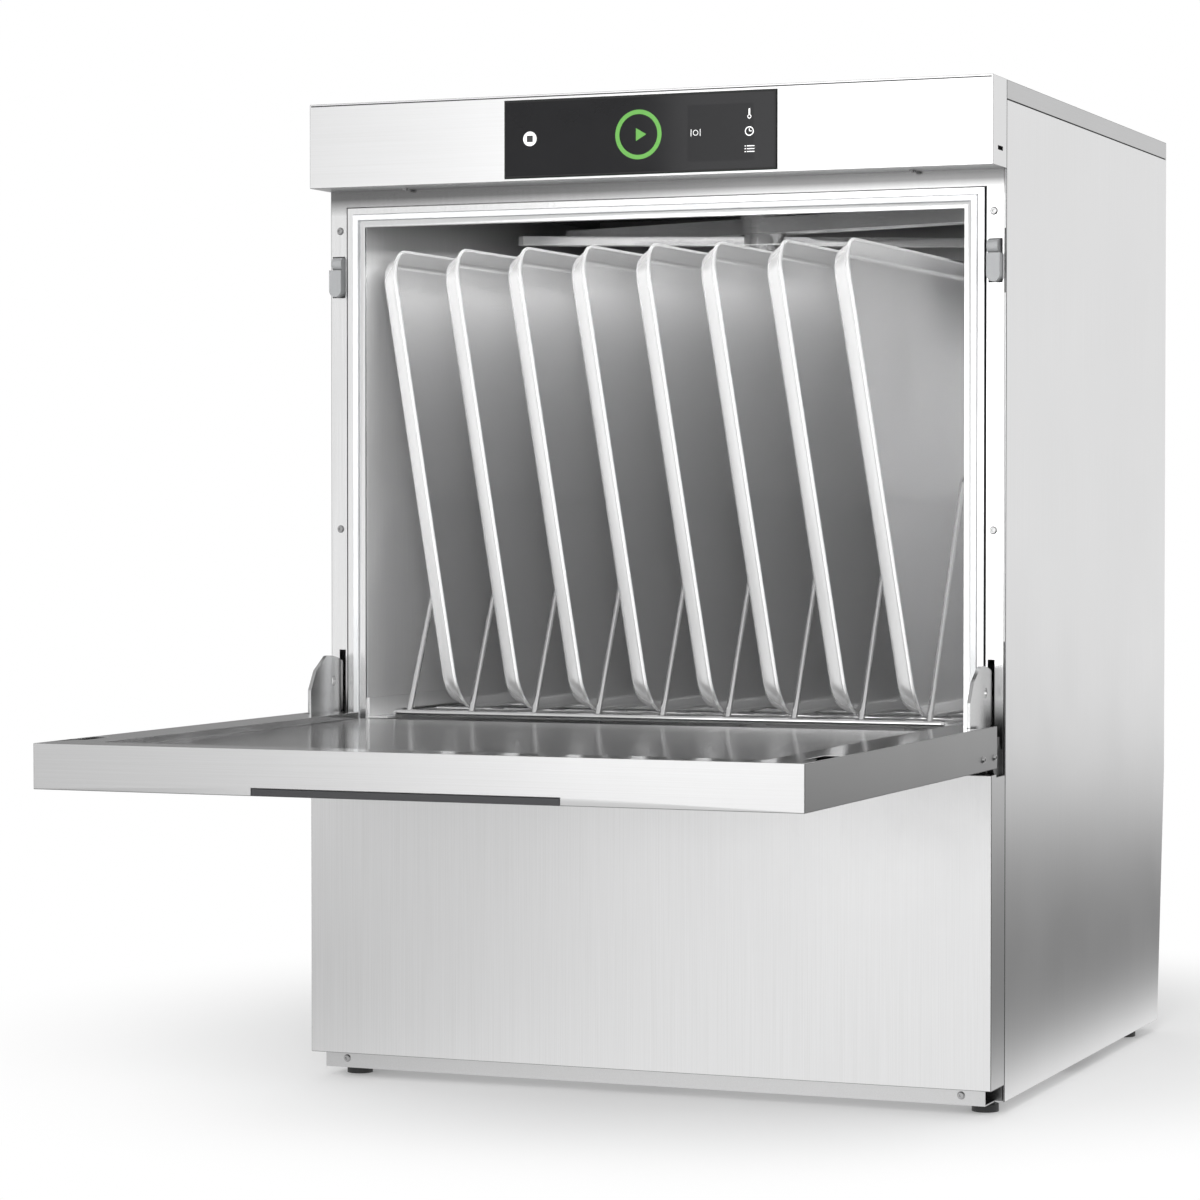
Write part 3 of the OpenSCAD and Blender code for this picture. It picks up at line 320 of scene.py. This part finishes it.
paleSeal = moulded("paleSeal", (0.7, 0.71, 0.72), rough=(0.45, 0.6), grain=500.0)
blackRubber = moulded("blackRubber", (0.02, 0.02, 0.021), rough=(0.5, 0.7), grain=800.0, bump=0.2)
blackPlastic = moulded("blackPlastic", (0.024, 0.024, 0.026), rough=(0.38, 0.52), grain=800.0)
greyPlastic = moulded("greyPlastic", (0.4, 0.41, 0.42), rough=(0.4, 0.55), grain=700.0)
whitePlastic = moulded("whitePlastic", (0.78, 0.79, 0.8), rough=(0.4, 0.5), grain=700.0)
motorPaint = moulded("motorPaint", (0.1, 0.105, 0.11), rough=(0.35, 0.5), grain=300.0, bump=0.2)
boxPaint = moulded("boxPaint", (0.5, 0.5, 0.48), rough=(0.4, 0.5), grain=400.0, bump=0.2)
boardGreen = moulded("boardGreen", (0.03, 0.09, 0.05), rough=(0.35, 0.5), grain=500.0)


# The door skin's colour is darker on its faces that point along X, its folded ends
def darkenEnds(made, tone):
    tree, links = made.node_tree.nodes, made.node_tree.links
    base = tree["Principled BSDF"].inputs["Base Color"]
    colour = base.links[0].from_socket
    across = splitNode(tree, links, tree.new("ShaderNodeTexCoord").outputs["Normal"])["X"]
    factor = mathNode(tree, links, "ABSOLUTE", across)
    links.new(blendNode(tree, links, factor, colour, (tone, tone, tone, 1), "MULTIPLY"), base)


# Painted shade: a material's colour is darkened over a range of heights
def paintShadeOverHeight(made, start, end, tone):
    tree, links = made.node_tree.nodes, made.node_tree.links
    base = tree["Principled BSDF"].inputs["Base Color"]
    shade = tree.new("ShaderNodeGroup")
    shade.node_tree = heightGroup
    links.new(tree.new("ShaderNodeTexCoord").outputs["Object"], shade.inputs["Vector"])
    links.new(base.links[0].from_socket, shade.inputs["Color"])
    for label, value in (("Tone", (tone, tone, tone, 1)), ("Start", start), ("End", end)):
        shade.inputs[label].default_value = value
    links.new(shade.outputs["Color"], base)


darkenEnds(skinSteel, 0.52)
# Painted shade, heights in metres: the chamber's ceiling in shadow behind the arms, then the posts
# in the shadow under the fascia box and at the hinge
paintShadeOverHeight(chamberSteel, 0.7, 0.765, 0.12)
paintShadeOverHeight(postSteel, 0.738, 0.752, 0.22)
paintShadeOverHeight(postSteel, 0.335, 0.318, 0.2)
print("materials made")


# A piece's edges stay sharp where its faces meet at more than this many degrees
sharpAngles = {"mark": 38, "sheet": 30, "wire": 50, "tray": 60, "screw": 35}


def addPiece(name, work, body, material, sharp, replaced=()):
    mesh = bpy.data.meshes.new(name)
    work.to_mesh(mesh)
    work.free()
    mesh.materials.append(material)
    mesh.shade_smooth()
    mesh.set_sharp_from_angle(angle=math.radians(sharp))
    piece = linkObject(name, mesh)
    if replaced:
        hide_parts(*replaced)
    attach(piece, body)
    return piece


mergeGap = 0.00002  # metres
flatAngle = 0.6  # degrees
areaSlack = 0.0005  # share of the whole area
bevelSegments, bevelAngle = 2, 32


# A sheet-metal node gets small rolled edges: its own mesh is merged and bevelled in a copy
def mergedMesh(node, dissolve):
    work = bmesh.new()
    work.from_mesh(nodes[node].data)
    bmesh.ops.remove_doubles(work, verts=work.verts, dist=mergeGap)
    if dissolve:
        bmesh.ops.dissolve_limit(work, angle_limit=math.radians(flatAngle), verts=work.verts,
                                 edges=work.edges)
        bmesh.ops.triangulate(work, faces=[f for f in work.faces if len(f.verts) > 4])
    return work, sum(face.calc_area() for face in work.faces)


def rolledCopy(node, name, material, width, paintedEdgeMaterial=None):
    plain, plainArea = mergedMesh(node, False)
    work, area = mergedMesh(node, True)
    if abs(area - plainArea) > areaSlack * plainArea:  # a face with a hole didn't survive
        print("kept as triangles:", node)
        work.free()
        work = plain
    else:
        plain.free()
    piece = addPiece(name, work, bodyOf[node], material, sharpAngles["sheet"], [node])
    edge = piece.modifiers.new("rolledEdges", "BEVEL")
    edge.width = width * mm
    edge.segments = bevelSegments
    edge.limit_method = "ANGLE"
    edge.angle_limit = math.radians(bevelAngle)
    edge.harden_normals = True
    # The rolled edge takes the painted dark reflection
    if paintedEdgeMaterial:
        piece.data.materials.append(paintedEdgeMaterial)
        edge.material = 1


# Sheet metal of the cabinet and the door: node, name, material, width of the rolled edge in
# millimetres, and a darker material on that edge, a painted dark reflection where it shows as a
# line
sheetPieces = [
    ("fascia_hood", "hoodShell", hoodSteel, 0.55, paintedEdgeDark),
    ("top_cover", "topLid", coverSteel, 0.5, paintedEdgeDark),
    ("side_panel_left", "sideLeft", panelSteel, 0.5, paintedEdgeDark),
    ("side_panel_right", "sideRight", panelSteel, 0.5, paintedEdgeDark),
    ("rear_panel_upper", "backUpper", panelSteel, 0.3),
    ("rear_panel_lower", "backLower", panelSteel, 0.3),
    ("lower_front_panel", "frontLower", frontSteel, 0.5, paintedEdgeGrey),
    ("base_frame", "plinthAndBase", coverSteel, 0.4),
    ("front_frame", "frontPosts", postSteel, 0.3),
    ("opening_frame", "openingBand", frameSteel, 0.6),
    ("door_outer_skin", "doorShell", skinSteel, 0.55, paintedEdgeGrey),
    ("door_inner_panel", "doorInner", doorSteel, 0.4),
    ("hinge_leaves", "hingeLeaves", leafSteel, 0.5),
    ("hinge_brackets", "hingeBrackets", bracketSteel, 0.4),
    ("door_seal", "doorSeal", paleSeal, 0.8),
    ("wash_chamber", "chamberShell", chamberSteel, 0.4),
    ("rack_rails", "rackRails", chamberSteel, 0.3),
]
for sheetPiece in sheetPieces:
    rolledCopy(*sheetPiece)
print("sheet metal dressed")

# Trays: pressed sheet with tapered walls, round corners and a rolled rim. The heights bailTop and
# wire are those of part.scad, touch and rest are the gaps from the axes of the wires
tray = {"length": 526, "height": 400, "depth": 17, "sheet": 1.2, "corner": 30, "taper": 6,
        "bead": 3.6, "curl": 1.2, "lean": 9.2, "pitch": 58.1, "bailTop": 512.2, "wire": 312.2,
        "front": 44, "touch": 2.8, "rest": 3.3, "cornerSteps": 10, "count": 8, "middle": 4}
curlTurns = range(170, -170, -34)  # degrees round the rim's curl
nearby = 0.01  # millimetres


# Half of the tray's section, outwards and upwards from the middle of a corner: the floor, the drawn
# radius, the wall and the rim that curls back
def traySection(t, mid):
    foot, wall = t["corner"] - t["taper"], t["corner"]
    section = [(10, mid), (foot - 5.6, mid), (foot - 3.4, mid + 0.35), (foot - 1.7, mid + 1.3),
               (foot - 0.6, mid + 2.8), (foot + 1.6, 7.2), (wall - 1.45, t["depth"] - 3.4)]
    for turn in curlTurns:
        section.append((wall + t["curl"] * math.cos(math.radians(turn)),
                        t["depth"] - t["bead"] / 2 + t["curl"] * math.sin(math.radians(turn))))
    return section


def trayShape(t):
    work = bmesh.new()
    mid = t["sheet"] / 2
    runX = t["length"] - t["bead"] - 2 * t["corner"]
    runY = t["height"] - t["bead"] - 2 * t["corner"]
    corner = Vector((runX / 2, runY / 2, 0))
    line = [work.verts.new(corner + Vector((x, 0, z))) for x, z in traySection(t, mid)]
    edges = [work.edges.new(pair) for pair in zip(line, line[1:])]
    heading = Vector((-1, 0, 0))
    for side in range(4):
        spun = bmesh.ops.spin(work, geom=line + edges, cent=corner, axis=(0, 0, 1),
                              angle=math.radians(90), steps=t["cornerSteps"], use_merge=False,
                              use_duplicate=False)["geom_last"]
        length = runX if side % 2 == 0 else runY
        edges = [g for g in spun if isinstance(g, bmesh.types.BMEdge)]
        pushed = bmesh.ops.extrude_edge_only(work, edges=edges)["geom"]
        line = [g for g in pushed if isinstance(g, bmesh.types.BMVert)]
        edges = [g for g in pushed if isinstance(g, bmesh.types.BMEdge)]
        bmesh.ops.translate(work, verts=line, vec=heading * length)
        corner = corner + heading * length
        heading = Matrix.Rotation(math.radians(90), 3, "Z") @ heading
    bmesh.ops.remove_doubles(work, verts=work.verts, dist=nearby)
    rim = [e for e in work.edges
           if e.is_boundary and all(abs(v.co.z - mid) < nearby for v in e.verts)]
    bmesh.ops.contextual_create(work, geom=rim)
    bmesh.ops.recalc_face_normals(work, faces=work.faces)
    bmesh.ops.scale(work, vec=(mm, mm, mm), verts=work.verts)
    return work


def placeTray(index, t):
    lean = math.radians(t["lean"])
    foot = t["wire"] + t["rest"] - t["depth"] * math.sin(lean)
    x = ((index - t["middle"]) * t["pitch"] + t["touch"] / math.cos(lean)
         + (t["bailTop"] - foot) * math.tan(lean))
    work = trayShape(t)
    place = (Matrix.Translation(at(x, t["front"] + t["length"] / 2, foot))
             @ Matrix.Rotation(-lean, 4, "Y")
             @ Matrix.Translation((0, 0, t["height"] / 2 * mm)) @ turned(90, "Y") @ turned(90, "Z"))
    bmesh.ops.transform(work, matrix=place, verts=work.verts)
    piece = addPiece(f"trayPressed{index + 1}", work, "rack", traySatin,
                     sharpAngles["tray"], [f"tray_{index + 1}"])
    sheet = piece.modifiers.new("sheet", "SOLIDIFY")
    sheet.thickness = t["sheet"] * mm
    sheet.offset = 0
    sheet.use_even_offset = True


for index in range(tray["count"]):
    placeTray(index, tray)
print("trays pressed")


# A wire runs through its corners with round bends
def bentLine(corners, bend, steps):
    points = [Vector(corners[0])]
    for before, corner, after in zip(corners, corners[1:], corners[2:]):
        into, out = (Vector(before) - Vector(corner)), (Vector(after) - Vector(corner))
        half = into.angle(out) / 2
        back = bend / math.tan(half)
        start = Vector(corner) + into.normalized() * back
        end = Vector(corner) + out.normalized() * back
        for k in range(steps + 1):
            t = k / steps
            points.append((1 - t) ** 2 * start + 2 * t * (1 - t) * Vector(corner) + t ** 2 * end)
    points.append(Vector(corners[-1]))
    return points


def wirePiece(name, runs, replaced):
    curve = bpy.data.curves.new(name, "CURVE")
    curve.dimensions = "3D"
    curve.bevel_depth = 1.0
    curve.bevel_resolution = wireSides
    curve.use_fill_caps = True
    for points, radius in runs:
        line = curve.splines.new("POLY")
        line.points.add(len(points) - 1)
        for point, where in zip(line.points, points):
            point.co = (*where, 1)
            point.radius = radius * mm
    draft = linkObject(name + "Draft", curve)
    shape = bpy.data.meshes.new_from_object(
        draft.evaluated_get(bpy.context.evaluated_depsgraph_get()))
    bpy.data.objects.remove(draft)
    work = bmesh.new()
    work.from_mesh(shape)
    addPiece(name, work, "rack", wireChrome, sharpAngles["wire"], replaced)


# Rack: frame wires, cross wires and nine bent bails. Wires by radius, bends in metres
rack = {"half": 246, "front": 53, "rear": 547, "wire": 3.0, "cross": 2.0, "bail": 2.5, "lean": 98,
        "high": 200, "bails": 9, "bays": 6, "extra": (14, 30), "crossDrop": 0.5}
frameBend, bailBend = (0.0032, 5), (0.009, 7)  # radius and steps
wireSides = 5  # how finely a wire is rounded


def bendFrame(z):
    half, front, rear = rack["half"], rack["front"], rack["rear"]
    corners = [at(0, front, z), at(half, front, z), at(half, rear, z), at(-half, rear, z),
               at(-half, front, z), at(0, front, z)]
    runs = [(bentLine(corners, *frameBend), rack["wire"])]
    depths = [front + k * (rear - front) / rack["bays"] for k in range(1, rack["bays"])]
    depths += [front + gap for gap in rack["extra"]] + [rear - gap for gap in rack["extra"]]
    for y in depths:
        low = z - rack["crossDrop"]
        runs.append(([at(-half, y, low), at(half, y, low)], rack["cross"]))
    wirePiece("rackFrame", runs, ["rack_base"])


def bendBails(z):
    runs = []
    for index in range(rack["bails"]):
        x, top = (index - tray["middle"]) * tray["pitch"], z + rack["high"]
        corners = [at(x, rack["front"], z), at(x, rack["front"] + rack["lean"], top),
                   at(x, rack["rear"] - rack["lean"], top), at(x, rack["rear"], z)]
        runs.append((bentLine(corners, *bailBend), rack["bail"]))
    wirePiece("rackBails", runs, ["rack_bails"])


bendFrame(tray["wire"])
bendBails(tray["wire"])
print("rack bent")


# Flat shapes of the marks on the glass, in millimetres
def flatBox(work, x0, x1, y0, y1):
    bmesh.ops.create_grid(work, x_segments=1, y_segments=1, size=0.5, matrix=Matrix.Translation(
        ((x0 + x1) / 2, (y0 + y1) / 2, 0)) @ Matrix.Diagonal((x1 - x0, y1 - y0, 1, 1)))


def flatRing(work, x, y, outer, inner, steps=40):
    made = bmesh.ops.create_circle(work, cap_ends=False, radius=outer, segments=steps,
                                   matrix=Matrix.Translation((x, y, 0)))["verts"]
    edges = list({e for v in made for e in v.link_edges})
    grown = bmesh.ops.extrude_edge_only(work, edges=edges)["geom"]
    moved = [g for g in grown if isinstance(g, bmesh.types.BMVert)]
    bmesh.ops.scale(work, vec=(inner / outer, inner / outer, 1), verts=moved,
                    space=Matrix.Translation((-x, -y, 0)))


def flatDisc(work, radius, segments, x=0, turn=0):
    bmesh.ops.create_circle(work, cap_ends=True, radius=radius, segments=segments,
                            matrix=Matrix.Translation((x, 0, 0)) @ turned(turn, "Z"))


glass = {"wide": 239, "high": 64, "mid": 793.5, "face": -1.4, "ring": 20.3, "band": 3.6,
         "stop": -96.5, "rim": 1.3, "thinner": 0.6, "gap": 0.2}


# A flat mark, a little raised: shapes, place, material, how far in front of the glass, and the
# nodes it replaces
def markPiece(name, shapes, x, height, material, lift, replaced=()):
    work = bmesh.new()
    for draw, *sizes in shapes:
        draw(work, *sizes)
    bmesh.ops.scale(work, vec=(mm, mm, mm), verts=work.verts)
    place = Matrix.Translation(at(x, glass["face"] - lift, height)) @ turned(90, "X")
    bmesh.ops.transform(work, matrix=place, verts=work.verts)
    addPiece(name, work, "cabinet", material, sharpAngles["mark"], replaced)


listIcon = [shape for row in (2.3, 0, -2.3) for shape in (
    (flatBox, -2.0, 4.4, row - 0.36, row + 0.36), (flatBox, -4.0, -2.9, row - 0.36, row + 0.36))]
clockIcon = [(flatRing, 0, 14.2, 3.8, 3.0), (flatBox, -0.35, 0.35, 14.0, 16.4),
             (flatBox, -0.35, 1.9, 13.9, 14.6)]
thermometerIcon = [(flatRing, 0, 26.0, 1.7, 1.1), (flatBox, -0.7, 0.7, 27.5, 32.5)]
plateIcon = [(flatRing, 0, 0, 2.3, 1.85), (flatBox, -4.2, -3.7, -2.9, 2.9),
             (flatBox, 3.7, 4.2, -2.9, 2.9)]  # a plate between a fork and a knife
startIcon = [(flatRing, 0, 0, glass["ring"], glass["ring"] - glass["band"], 96),
             (flatDisc, 6.1, 3, 0.9, -90)]  # the arrow is a disc of three corners
rim, wide, high = glass["rim"], glass["wide"] / 2 - glass["gap"], glass["high"] / 2 - glass["gap"]
rimLines = [(flatBox, -wide, wide, high - rim, high), (flatBox, -wide, wide, -high, -high + rim),
            (flatBox, -wide, -wide + rim * glass["thinner"], -high + rim, high - rim),
            (flatBox, wide - rim, wide, -high + rim, high - rim)]

markPiece("displayField", [(flatBox, -28.5, 28.5, -23, 23)], 71.5, glass["mid"] - 1, displayGlass,
          0.03)
markPiece("displayIcons", listIcon + clockIcon + thermometerIcon, 96.4, 778.4, whiteKey, 0.06)
markPiece("plateIcon", plateIcon, 50.0, glass["mid"] - 0.5, whiteKey, 0.06)
markPiece("startMark", startIcon, 0, glass["mid"], greenLight, 0.05, ["start_ring"])
markPiece("stopMark", [(flatDisc, 6, 48)], glass["stop"], glass["mid"], whiteKey, 0.04)
markPiece("stopSquare", [(flatBox, -2.7, 2.7, -2.7, 2.7)], glass["stop"], glass["mid"], darkKey,
          0.1)
markPiece("glassRim", rimLines, 0, glass["mid"], rimBlack, 0.05)
# Painted shade: the dark reflection of the fascia box's top bend is a line on its face, behind the
# face of the glass
markPiece("hoodBendShadeLine", [(flatBox, -298.8, 298.8, -0.5, 0.5)], 0, 828.3, paintedEdgeDark, -1.36)
print("controls drawn")


# Screws with a star-shaped socket, in millimetres; crown is the top's share of the radius, notch
# that of the socket's inner points, and upward and many find the top face
screw = {"high": 1.6, "socket": 1.5, "crown": 0.72, "notch": 0.72, "sunk": 1.1, "segments": 32,
         "upward": 0.9, "many": 8}


def oneScrew(radius):
    head = bmesh.new()
    bmesh.ops.create_cone(head, cap_ends=True, segments=screw["segments"], radius1=radius,
                          radius2=radius * screw["crown"], depth=screw["high"],
                          matrix=Matrix.Translation((0, 0, screw["high"] / 2)))
    top = [f for f in head.faces if f.normal.z > screw["upward"]]
    bmesh.ops.inset_region(head, faces=top, thickness=radius * screw["crown"] - screw["socket"])
    top = [f for f in head.faces
           if f.normal.z > screw["upward"] and len(f.verts) > screw["many"]]
    notches = [v for k, v in enumerate(top[0].verts) if k % 4 < 2]
    bmesh.ops.scale(head, vec=(screw["notch"], screw["notch"], 1), verts=notches)
    sunk = bmesh.ops.extrude_discrete_faces(head, faces=top)["faces"]
    bmesh.ops.translate(head, vec=(0, 0, -screw["sunk"]), verts=list(sunk[0].verts))
    bmesh.ops.scale(head, vec=(mm, mm, mm), verts=head.verts)
    return head


def screwHeads(name, spots, body, replaced):
    work = bmesh.new()
    for where, direction, radius in spots:
        head = oneScrew(radius)
        place = (Matrix.Translation(where)
                 @ Vector(direction).to_track_quat("Z", "Y").to_matrix().to_4x4())
        bmesh.ops.transform(head, matrix=place, verts=head.verts)
        shape = bpy.data.meshes.new("oneScrew")
        head.to_mesh(shape)
        head.free()
        work.from_mesh(shape)
    addPiece(name, work, body, screwSteel, sharpAngles["screw"], replaced)


# Each spot: place on the right half, the way the screw's head faces, and the head's radius
front, down = (0, -1, 0), (0, 0, -1)
frontSpots = ((290, 38, 469.8, front, 3.3), (290, 38, 725.3, front, 3.3), (272, 12, 18, front, 3.3),
              (225, 29, 759, down, 3.0))
screwHeads("frontScrews", [(at(side * x, y, z), facing, radius) for side in (-1, 1)
                           for x, y, z, facing, radius in frontSpots], "cabinet", ["front_screws"])
screwHeads("doorSideScrews", [(at(side * 300, y, 289.5), (side, 0, 0), 3.0) for side in (-1, 1)
                              for y in (-24, 8)], "door", ["door_screws"])
print("screws set")

# Small hardware keeps its solids, with soft edges where they show: node, name, material, width
smallPieces = [
    ("door_grip", "gripStrip", blackPlastic, 0.6),
    ("latch_left", "latchLeft", greyLatch, 0.7),
    ("latch_right", "latchRight", greyLatch, 0.7),
    ("feet", "rubberFeet", blackRubber, 1.0),
    ("wash_arm_lower", "washArmLower", armSteel, 1.2),
    ("wash_arm_upper", "washArmUpper", armSteel, 1.2),
    ("rinse_arm_lower", "rinseArmLower", armSteel, 0.8),
    ("rinse_arm_upper", "rinseArmUpper", armSteel, 0.8),
    ("manifold_lower", "standpipeLower", armSteel, 0.6),
    ("manifold_upper", "standpipeUpper", armSteel, 0.6),
    ("strainer_plates", "strainerPlates", chamberSteel, 0.3),
    ("cable_gland", "cableGland", blackPlastic, 0.5),
    ("inlet_valve", "inletValve", greyPlastic, 0.5),
    ("drain_pump", "drainPump", greyPlastic, 0.6),
]
for smallPiece in smallPieces:
    rolledCopy(*smallPiece)

# Inner parts and flat pieces only get a material
plainNodes = {
    "control_glass": blackGlass, "stop_key": darkKey, "control_board": boardGreen,
    "sump_tank": plainSteel, "strainer_basket": chamberSteel, "tank_heater": plainSteel,
    "wash_riser": greyPlastic, "pump_casing": greyPlastic, "pump_motor": motorPaint,
    "pump_rotor": motorPaint, "boiler": plainSteel, "rinse_pump": motorPaint,
    "dosing_pumps": blackPlastic, "electrics_box": boxPaint, "air_break": whitePlastic,
}
for node, material in plainNodes.items():
    nodes[node].data.materials.clear()
    nodes[node].data.materials.append(material)
print("hardware dressed")


# Studio: pale floor, white background, soft lamps. world is the strength of its light and seen the
# tone that metal sees. fade: how far from the middle the floor turns white, and how white
studio = {"floor": 0.9, "floorRough": 0.6, "floorShine": 0.2, "reach": 14.0, "world": 0.62,
          "seen": 0.8, "middle": (0, 0.32, 0), "fade": (0.4, 0.85, 0.08, 1.0)}
# Each lamp: place, size, power, aim, and whether metal shows it
lamps = [("keyLamp", (-2.6, -3.2, 2.8), (3.2, 3.2), 60, (0, 0, 0.45), False),
         ("sideLamp", (3.4, -0.6, 2.2), (2.6, 2.6), 30, (0, 0, 0.45), False),
         ("topLamp", (0.2, 0.3, 3.4), (2.6, 2.6), 26, (0, 0, 0.45), False),
         ("chamberLamp", (0.5, -2.3, 0.9), (1.2, 1.2), 44, (0.0, 0.2, 0.5), False),
         ("ceilingLamp", (0.0, 0.12, 0.718), (0.5, 0.3), 1.7, (0.0, 0.16, 0.0), False),
         ("stripLamp", (-0.75, -3.5, 0.95), (1.0, 1.9), 9, (0, 0, 0.6), True)]
# Metal sees a pale floor, with a painted shadow beside the right wall and a dark area to the front
# left, and white walls that are greyer to the left and overhead and dark in the back left corner.
# Each range: from, to, and the values there
floorSeen = {"beside": (0.28, 0.5), "close": (1.2, 4.5, 1.0, 0.0), "paintedShadow": (0.0, 1.0, 0.86, 0.1),
             "left": (-0.9, 0.1, 1.0, 0.0), "ahead": (-3.5, -0.3), "corner": (0.0, 1.0, 1.0, 0.45)}
worldSeen = {"side": (-0.55, -0.22, 0.84, 1.0), "over": (0.15, 0.8, 1.0, 0.72),
             "left": (-0.12, 0.06, 1.0, 0.0), "back": (0.35, 0.75), "corner": (0.0, 1.0, 1.0, 0.42)}


# One shader where a ray is of a kind, another where it isn't
def chooseShader(tree, links, factor, otherwise, chosen):
    made = tree.new("ShaderNodeMixShader")
    links.new(factor, made.inputs["Fac"])
    links.new(otherwise, made.inputs[1])
    links.new(chosen, made.inputs[2])
    return made.outputs["Shader"]


def floorTone(tree, links, split, distance):
    def seen(value, label):
        return rangeNode(tree, links, value, *floorSeen[label])

    # The painted shadow beside the right side, seen only in metal
    paintedShadow = mathNode(tree, links, "MULTIPLY", seen(split["X"], "beside"), seen(distance, "close"))
    corner = mathNode(tree, links, "MULTIPLY", seen(split["X"], "left"), seen(split["Y"], "ahead"))
    return mathNode(tree, links, "MULTIPLY", seen(paintedShadow, "paintedShadow"), seen(corner, "corner"))


def makeFloor():
    work = bmesh.new()
    bmesh.ops.create_grid(work, x_segments=1, y_segments=1, size=studio["reach"])
    mesh = bpy.data.meshes.new("floor")
    work.to_mesh(mesh)
    work.free()
    floor = linkObject("floor", mesh)
    made = bpy.data.materials.new("paleFloor")
    made.use_nodes = True
    tree, links = made.node_tree.nodes, made.node_tree.links
    shader = tree["Principled BSDF"]
    shader.inputs["Base Color"].default_value = (*[studio["floor"]] * 3, 1)
    shader.inputs["Roughness"].default_value = studio["floorRough"]
    shader.inputs["Specular IOR Level"].default_value = studio["floorShine"]
    place = tree.new("ShaderNodeTexCoord").outputs["Object"]
    away = tree.new("ShaderNodeVectorMath")
    away.operation = "DISTANCE"
    away.inputs[1].default_value = studio["middle"]
    links.new(place, away.inputs[0])
    path = tree.new("ShaderNodeLightPath").outputs
    fade = rangeNode(tree, links, away.outputs["Value"], *studio["fade"])
    white, pale = tree.new("ShaderNodeEmission"), tree.new("ShaderNodeEmission")
    tone = floorTone(tree, links, splitNode(tree, links, place), away.outputs["Value"])
    links.new(tone, pale.inputs["Strength"])
    whitened = mathNode(tree, links, "MULTIPLY", fade, path["Is Camera Ray"])
    plain = chooseShader(tree, links, whitened, shader.outputs["BSDF"], white.outputs["Emission"])
    links.new(chooseShader(tree, links, path["Is Glossy Ray"], plain, pale.outputs["Emission"]),
              tree["Material Output"].inputs["Surface"])
    mesh.materials.append(made)


def worldTone(tree, links, split):
    def seen(value, label):
        return rangeNode(tree, links, value, *worldSeen[label])

    corner = mathNode(tree, links, "MULTIPLY", seen(split["X"], "left"), seen(split["Y"], "back"))
    over = mathNode(tree, links, "MULTIPLY", seen(split["Z"], "over"), seen(corner, "corner"))
    return mathNode(tree, links, "MULTIPLY", seen(split["X"], "side"), over)


def makeWorld():
    world = bpy.data.worlds.new("studio")
    bpy.context.scene.world = world
    world.use_nodes = True
    tree, links = world.node_tree.nodes, world.node_tree.links
    light = tree["Background"]
    light.inputs["Strength"].default_value = studio["world"]
    split = splitNode(tree, links, tree.new("ShaderNodeTexCoord").outputs["Generated"])
    shown, white = tree.new("ShaderNodeBackground"), tree.new("ShaderNodeBackground")
    for background, tone in ((light, 1), (shown, studio["seen"]), (white, 1)):
        background.inputs["Color"].default_value = (tone, tone, tone, 1)
    links.new(worldTone(tree, links, split), shown.inputs["Strength"])
    path = tree.new("ShaderNodeLightPath").outputs
    plain = chooseShader(tree, links, path["Is Glossy Ray"], light.outputs["Background"],
                         shown.outputs["Background"])
    links.new(chooseShader(tree, links, path["Is Camera Ray"], plain, white.outputs["Background"]),
              tree["World Output"].inputs["Surface"])


def makeLamps():
    for name, place, size, power, aim, shown in lamps:
        data = bpy.data.lights.new(name, "AREA")
        data.shape = "RECTANGLE"
        data.size, data.size_y = size
        data.energy = power
        lamp = linkObject(name, data)
        lamp.location = place
        lamp.rotation_euler = (Vector(aim) - Vector(place)).to_track_quat("-Z", "Y").to_euler()
        lamp.visible_glossy = shown


makeFloor()
makeWorld()
makeLamps()
print("studio lit")
